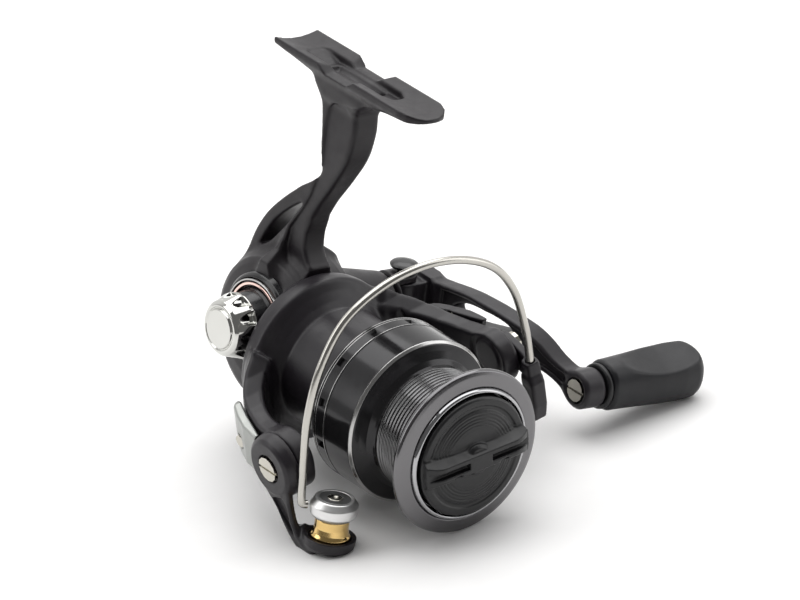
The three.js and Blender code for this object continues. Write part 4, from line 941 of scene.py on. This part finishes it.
def drag_knob():
    """Round cap with fine ripples, and a grip bar across it with a groove and a boss."""
    f = Field((69.2, -17.4, -17.4), (80.4, 17.4, 17.4), 0.24)
    x = f.x
    turn = math.radians(10.5)
    along = f.y * math.cos(turn) + f.z * math.sin(turn)
    across = f.z * math.cos(turn) - f.y * math.sin(turn)
    radius = np.hypot(f.y, f.z)
    cap = turned(x, radius, [
        (69.6, 0), (69.6, 7), (70.6, 7.4), (70.6, 16.2), (71.2, 16.7), (75.5, 16.7), (76, 16.2),
        (76.1, 14.6), (75.8, 14.2), (75.8, 13.4), (76.1, 13.1), (76.4, 10.6), (76.7, 8), (76.9, 0)], 0.1)
    ripple = 0.11 * np.cos(radius * 2 * math.pi / 0.86)
    cap = cap + np.where((radius > 9) & (radius < 13), ripple, 0).astype(np.float32)
    rise = np.clip((x - 75.4) / 4.2, 0, 1)
    half_width = 4.5 - 2.3 * rise ** 0.8
    height = 79.5 - 1.6 * np.clip((np.abs(along) - 11) / 5, 0, 1) ** 2
    bar = within(np.abs(across) - half_width, x - height, 74 - x, radius - 16.6)
    bar = cut(bar, within(np.abs(across) - 0.95, 77.9 - x, 3.6 - np.abs(along)), 0.2)
    bar = cut(bar, within(np.abs(np.abs(along) - 7.5) - 1.3, slab(across, -5, -1.6), 77.3 - x), 0.2)
    boss = turned(x, radius, [(74, 0), (74, 4.6), (77.6, 4.4), (78.5, 3.6), (78.8, 0)])
    solid = join(join(cap, bar, 0.5), boss, 0.4)
    solid = cut(solid, within(radius - 4.4, x - 73.4))
    skin("drag_knob_skin", f, solid, "drag_knob", ["drag_knob"], KNOB_FACE)


# ---------------------------------------------------------------- handle side
CRANK_INNER = [(-4.4, 42.6), (6, 42.6), (24, 44.4), (40, 49), (51, 54.2), (60, 54.2)]


def crank_blade(x, y, z):
    """Bowed arm of the crank: front view, top view, a hollow on its inner side and a slot."""
    front = polygon(x, z, softened([
        (-4.3, 5), (3, 5.2), (9, 5.8), (15, 6.5), (20, 6.8), (26, 6.3), (32, 5.2), (38, 3.9),
        (42, 1.8), (46, -1.4), (50, -3.4), (55, -3.4), (59.6, -7.4), (57.6, -11.4), (53, -11.2),
        (46, -6.6), (36, -3.8), (22, -3.9), (8, -5.8), (-4.3, -7.2)], 2.5, True))
    top = polygon(x, y, softened([(-5, 43.4)] + CRANK_INNER + [
        (60, 60), (50, 59.4), (38, 54.8), (22, 50.2), (6, 48), (-4.4, 48), (-5, 47.2)], 3, True))
    arm = rounded(front, top, 0.8)
    inner = np.interp(x.ravel(), *zip(*CRANK_INNER)).reshape(x.shape)
    sunk = within(front + 1.5, y - inner - 1.3, 9 - x)
    arm = cut(arm, sunk.astype(np.float32), 0.6)
    slot = polygon(x, z, curve([
        (13, 0.8), (17, 3.2), (22, 3.9), (28, 3.5), (32.4, 2.3), (33, 0.9), (28, 0.1), (20, -1),
        (15, -1.1)], 60))
    return cut(arm, slot, 0.5)


def crank():
    f = Field((-9.2, 31.8, -12.4), (61.8, 63.6, 8.6), 0.34)
    x, y, z = f.x, f.y, f.z
    around_pin = np.hypot(x, y - FOLD_PIN_Y)
    hub = rounded(around_pin - 4.4, np.abs(z) - 4.6, 0.4)
    block = rounded(within(np.abs(x) - 4.3, np.abs(z) - 4.6), slab(y, FOLD_PIN_Y, 46.2), 0.3)
    face = turned(y, np.hypot(x, z), [
        (42.4, 0), (42.4, 7.5), (43.4, 7.8), (46, 7.7), (47.8, 6.4), (47.8, 0)])
    face = within(face, -4.3 - x, z - 6, -7.2 - z)
    solid = join(join(join(hub, block, 0.6), face, 0.8), crank_blade(x, y, z), 1.2)
    around_eye = np.hypot(x - EYE_OUT, z + EYE_DROP)
    eye = turned(y, around_eye, [
        (EYE_Y, 0), (EYE_Y, 4.4), (54.5, 5.2), (59.4, 5.4), (60, 5.3), (60.4, 4.8), (60.4, 0)])
    solid = join(solid, eye, 1.6)
    solid = cut(solid, around_eye - 2.6)
    solid = cut(solid, within(around_eye - 3.6, y - 55), 0.2)
    solid = cut(solid, around_pin - 2.1)
    skin("crank_arm_skin", f, solid, "crank", ["crank_arm"], origin=HANDLE_AXIS)


def handle_clevis():
    """Fork at the end of the handle shaft: a round base, two cheeks and the fold pin's bore."""
    f = Field((-8, 30.8, -8.4), (8, 41, 8.4), 0.24)
    x, y, z = f.x, f.y, f.z
    radius, around_pin = np.hypot(x, z), np.hypot(x, y - FOLD_PIN_Y)
    base = turned(y, radius, [(31.2, 2.4), (31.2, 6.6), (31.5, 7.2), (32.2, 7.4), (32.2, 2.4)])
    cheeks = within(rounded(around_pin - 3.7, slab(np.abs(z), 4.9, 8), 0.3), radius - 7.4)
    posts = within(np.abs(x) - 3.7, slab(y, 31.6, FOLD_PIN_Y), 4.9 - np.abs(z), radius - 7.4)
    solid = join(base, join(cheeks, posts), 0.3)
    solid = cut(solid, around_pin - 2)
    skin("handle_clevis", f, solid, "handle_shaft", ["handle_shaft"], PAINT["graphite"],
         origin=HANDLE_AXIS)


def handle_parts():
    handle_clevis()
    lathe("handle_rod", [(-17.6, 0), (-17.6, 2.4), (31.4, 2.4), (31.4, 0)],
          "y", HANDLE_AXIS, "handle_shaft", ["handle_shaft"], PAINT["steel"], 0.1, 48)
    lathe("handle_collar_skin", [(14, 2.7), (14, 4.8), (30.5, 4.8), (30.5, 6.2), (30.9, 6.2), (30.9, 2.7)],
          "y", HANDLE_AXIS, "handle_shaft", ["handle_collar"], None, 0.1, 64)
    lathe("fold_pin_skin", [
        (-8.6, 0), (-8.6, 1.7), (8.3, 1.7), (8.3, 3.9), (9, 4.1), (9.6, 3.4), (10, 1.8), (10.1, 0)], "z",
        (HANDLE_X, FOLD_PIN_Y, HANDLE_Z), "handle_shaft", ["fold_pin"], PAINT["trim_black"], 0.25, 64)


def knob_grip():
    """Squarish grip that swells towards its end, with a flat above and below."""
    f = Field((-9, 8.2, -9.4), (9, 41.4, 9.4), 0.3)
    x, y, z = f.x, f.y, f.z
    radius = np.hypot(x, z)
    from_collar = y.ravel() - 8.7
    reach = np.interp(from_collar, [0, 1, 4, 10, 17, 24, 30], [6.4, 6.9, 7, 7.3, 7.75, 7.9, 7.6])
    reach = reach.reshape(y.shape)
    power = 2.35
    lump = ((np.abs(x) / (0.93 * reach)) ** power + (np.abs(z) / (0.97 * reach)) ** power) ** (1 / power)
    grip = (lump - 1) * 0.94 * reach
    end = y - 40.7 + 0.02 * (x ** 2 + z ** 2)
    grip = rounded(rounded(grip, end, 2.6), 8.7 - y, 0.8)
    for way, flat, bow, middle in ((1, 5.2, 0.011, 27), (-1, 6.2, 0.008, 28)):
        facet = (way * (0.28 * x + z) - flat - bow * (y - middle) ** 2) / 1.05
        grip = common(grip, facet.astype(np.float32), 0.4)
    grip = cut(grip, within(radius - 2.5, y - 31))
    grip = cut(grip, within(radius - 3.6, slab(y, 30.5, 33)))
    grip = cut(grip, within(radius - 4.1, 31 - y))
    skin("knob_skin", f, grip, "knob", ["knob"], origin=EYE)


def knob():
    lathe("knob_collar_skin", [(6.9, 2.5), (6.9, 5.6), (7.2, 6.1), (7.8, 6.2), (8.4, 6), (8.4, 2.5)],
          "y", EYE, "knob", ["knob_collar"], None, 0.2, 80)
    knob_grip()
    lathe("knob_cap_skin", [(38.2, 0), (38.2, 3.7), (40, 3.8), (40.5, 3.2), (40.7, 0)],
          "y", EYE, "knob", ["knob_cap"], None, 0.3, 64)


body_frame()
left_side()
screw_cap()
rotor()
arm_cover("arm_cover_right", True)
arm_cover("arm_cover_left", False)
bail_lever()
bail_holder()
bail_wire()
roller_stack()
spool()
drag_knob()
crank()
handle_parts()
knob()


# ---------------------------------------------------------------- light and floor
# The floor lies just under the roller's dish and rises forward and towards the handle side.
FLOOR_POINT = (ROLLER_X, ROLLER_Y, DISH_Z - 0.05)
FLOOR_NORMAL = (-0.073, -0.187, 1.0)
FLOOR_HALF = 0.9


def make_floor():
    corners = [(x * FLOOR_HALF, y * FLOOR_HALF, 0) for x, y in ((-1, -1), (1, -1), (1, 1), (-1, 1))]
    mesh = bpy.data.meshes.new("floor")
    mesh.from_pydata(corners, [], [(0, 1, 2, 3)])
    floor = bpy.data.objects.new("floor", mesh)
    scene.collection.objects.link(floor)
    normal = Vector(FLOOR_NORMAL).normalized()
    turn = normal.to_track_quat("Z", "Y").to_matrix().to_4x4()
    floor.matrix_world = Matrix.Translation(Vector(to_row(FLOOR_POINT))) @ turn
    mesh.materials.append(finish("floor_paper", (0.94, 0.935, 0.93), 0.9, 0.0, 0.01, 0.02))


def area_light(name, at, target, size, power):
    data = bpy.data.lights.new(name, "AREA")
    data.shape = "RECTANGLE"
    data.size, data.size_y = size
    data.energy = power
    light = bpy.data.objects.new(name, data)
    scene.collection.objects.link(light)
    light.location = at
    light.rotation_mode = "QUATERNION"
    light.rotation_quaternion = (Vector(target) - Vector(at)).to_track_quat("-Z", "Y")


def make_light():
    world = bpy.data.worlds.new("world")
    world.use_nodes = True
    background = world.node_tree.nodes["Background"]
    background.inputs["Strength"].default_value = 1.0
    scene.world = world
    middle = (cad_low + cad_high) / 2
    view = Vector(CAMERA_AT).normalized()
    # A white wall behind the reel that falls off to a dim room on the camera's side.
    nodes, links = world.node_tree.nodes, world.node_tree.links
    toward = nodes.new("ShaderNodeVectorMath")
    toward.operation = "DOT_PRODUCT"
    toward.inputs[1].default_value = (view.x, view.y, 0)
    links.new(nodes.new("ShaderNodeTexCoord").outputs["Generated"], toward.inputs[0])
    level = ramp(nodes, links, toward.outputs["Value"], 1.0, 0.17, -0.45, 0.25)
    links.new(mixed(nodes, links, level, (0, 0, 0), (1.0, 0.995, 0.99)), background.inputs["Color"])
    right = Vector(CAMERA_RIGHT)
    up = -Vector(CAMERA_DOWN)
    area_light("top", middle + up * 0.95 + view * 0.15, middle, (1.3, 1.3), 10.5)
    area_light("left", middle - right * 0.6 + up * 0.3 + view * 0.25, middle, (0.35, 0.7), 1.6)
    area_light("right", middle + right * 0.65 + up * 0.25 + view * 0.05, middle, (0.3, 0.6), 0.9)
    scene.view_settings.view_transform = "Standard"


make_floor()
make_light()
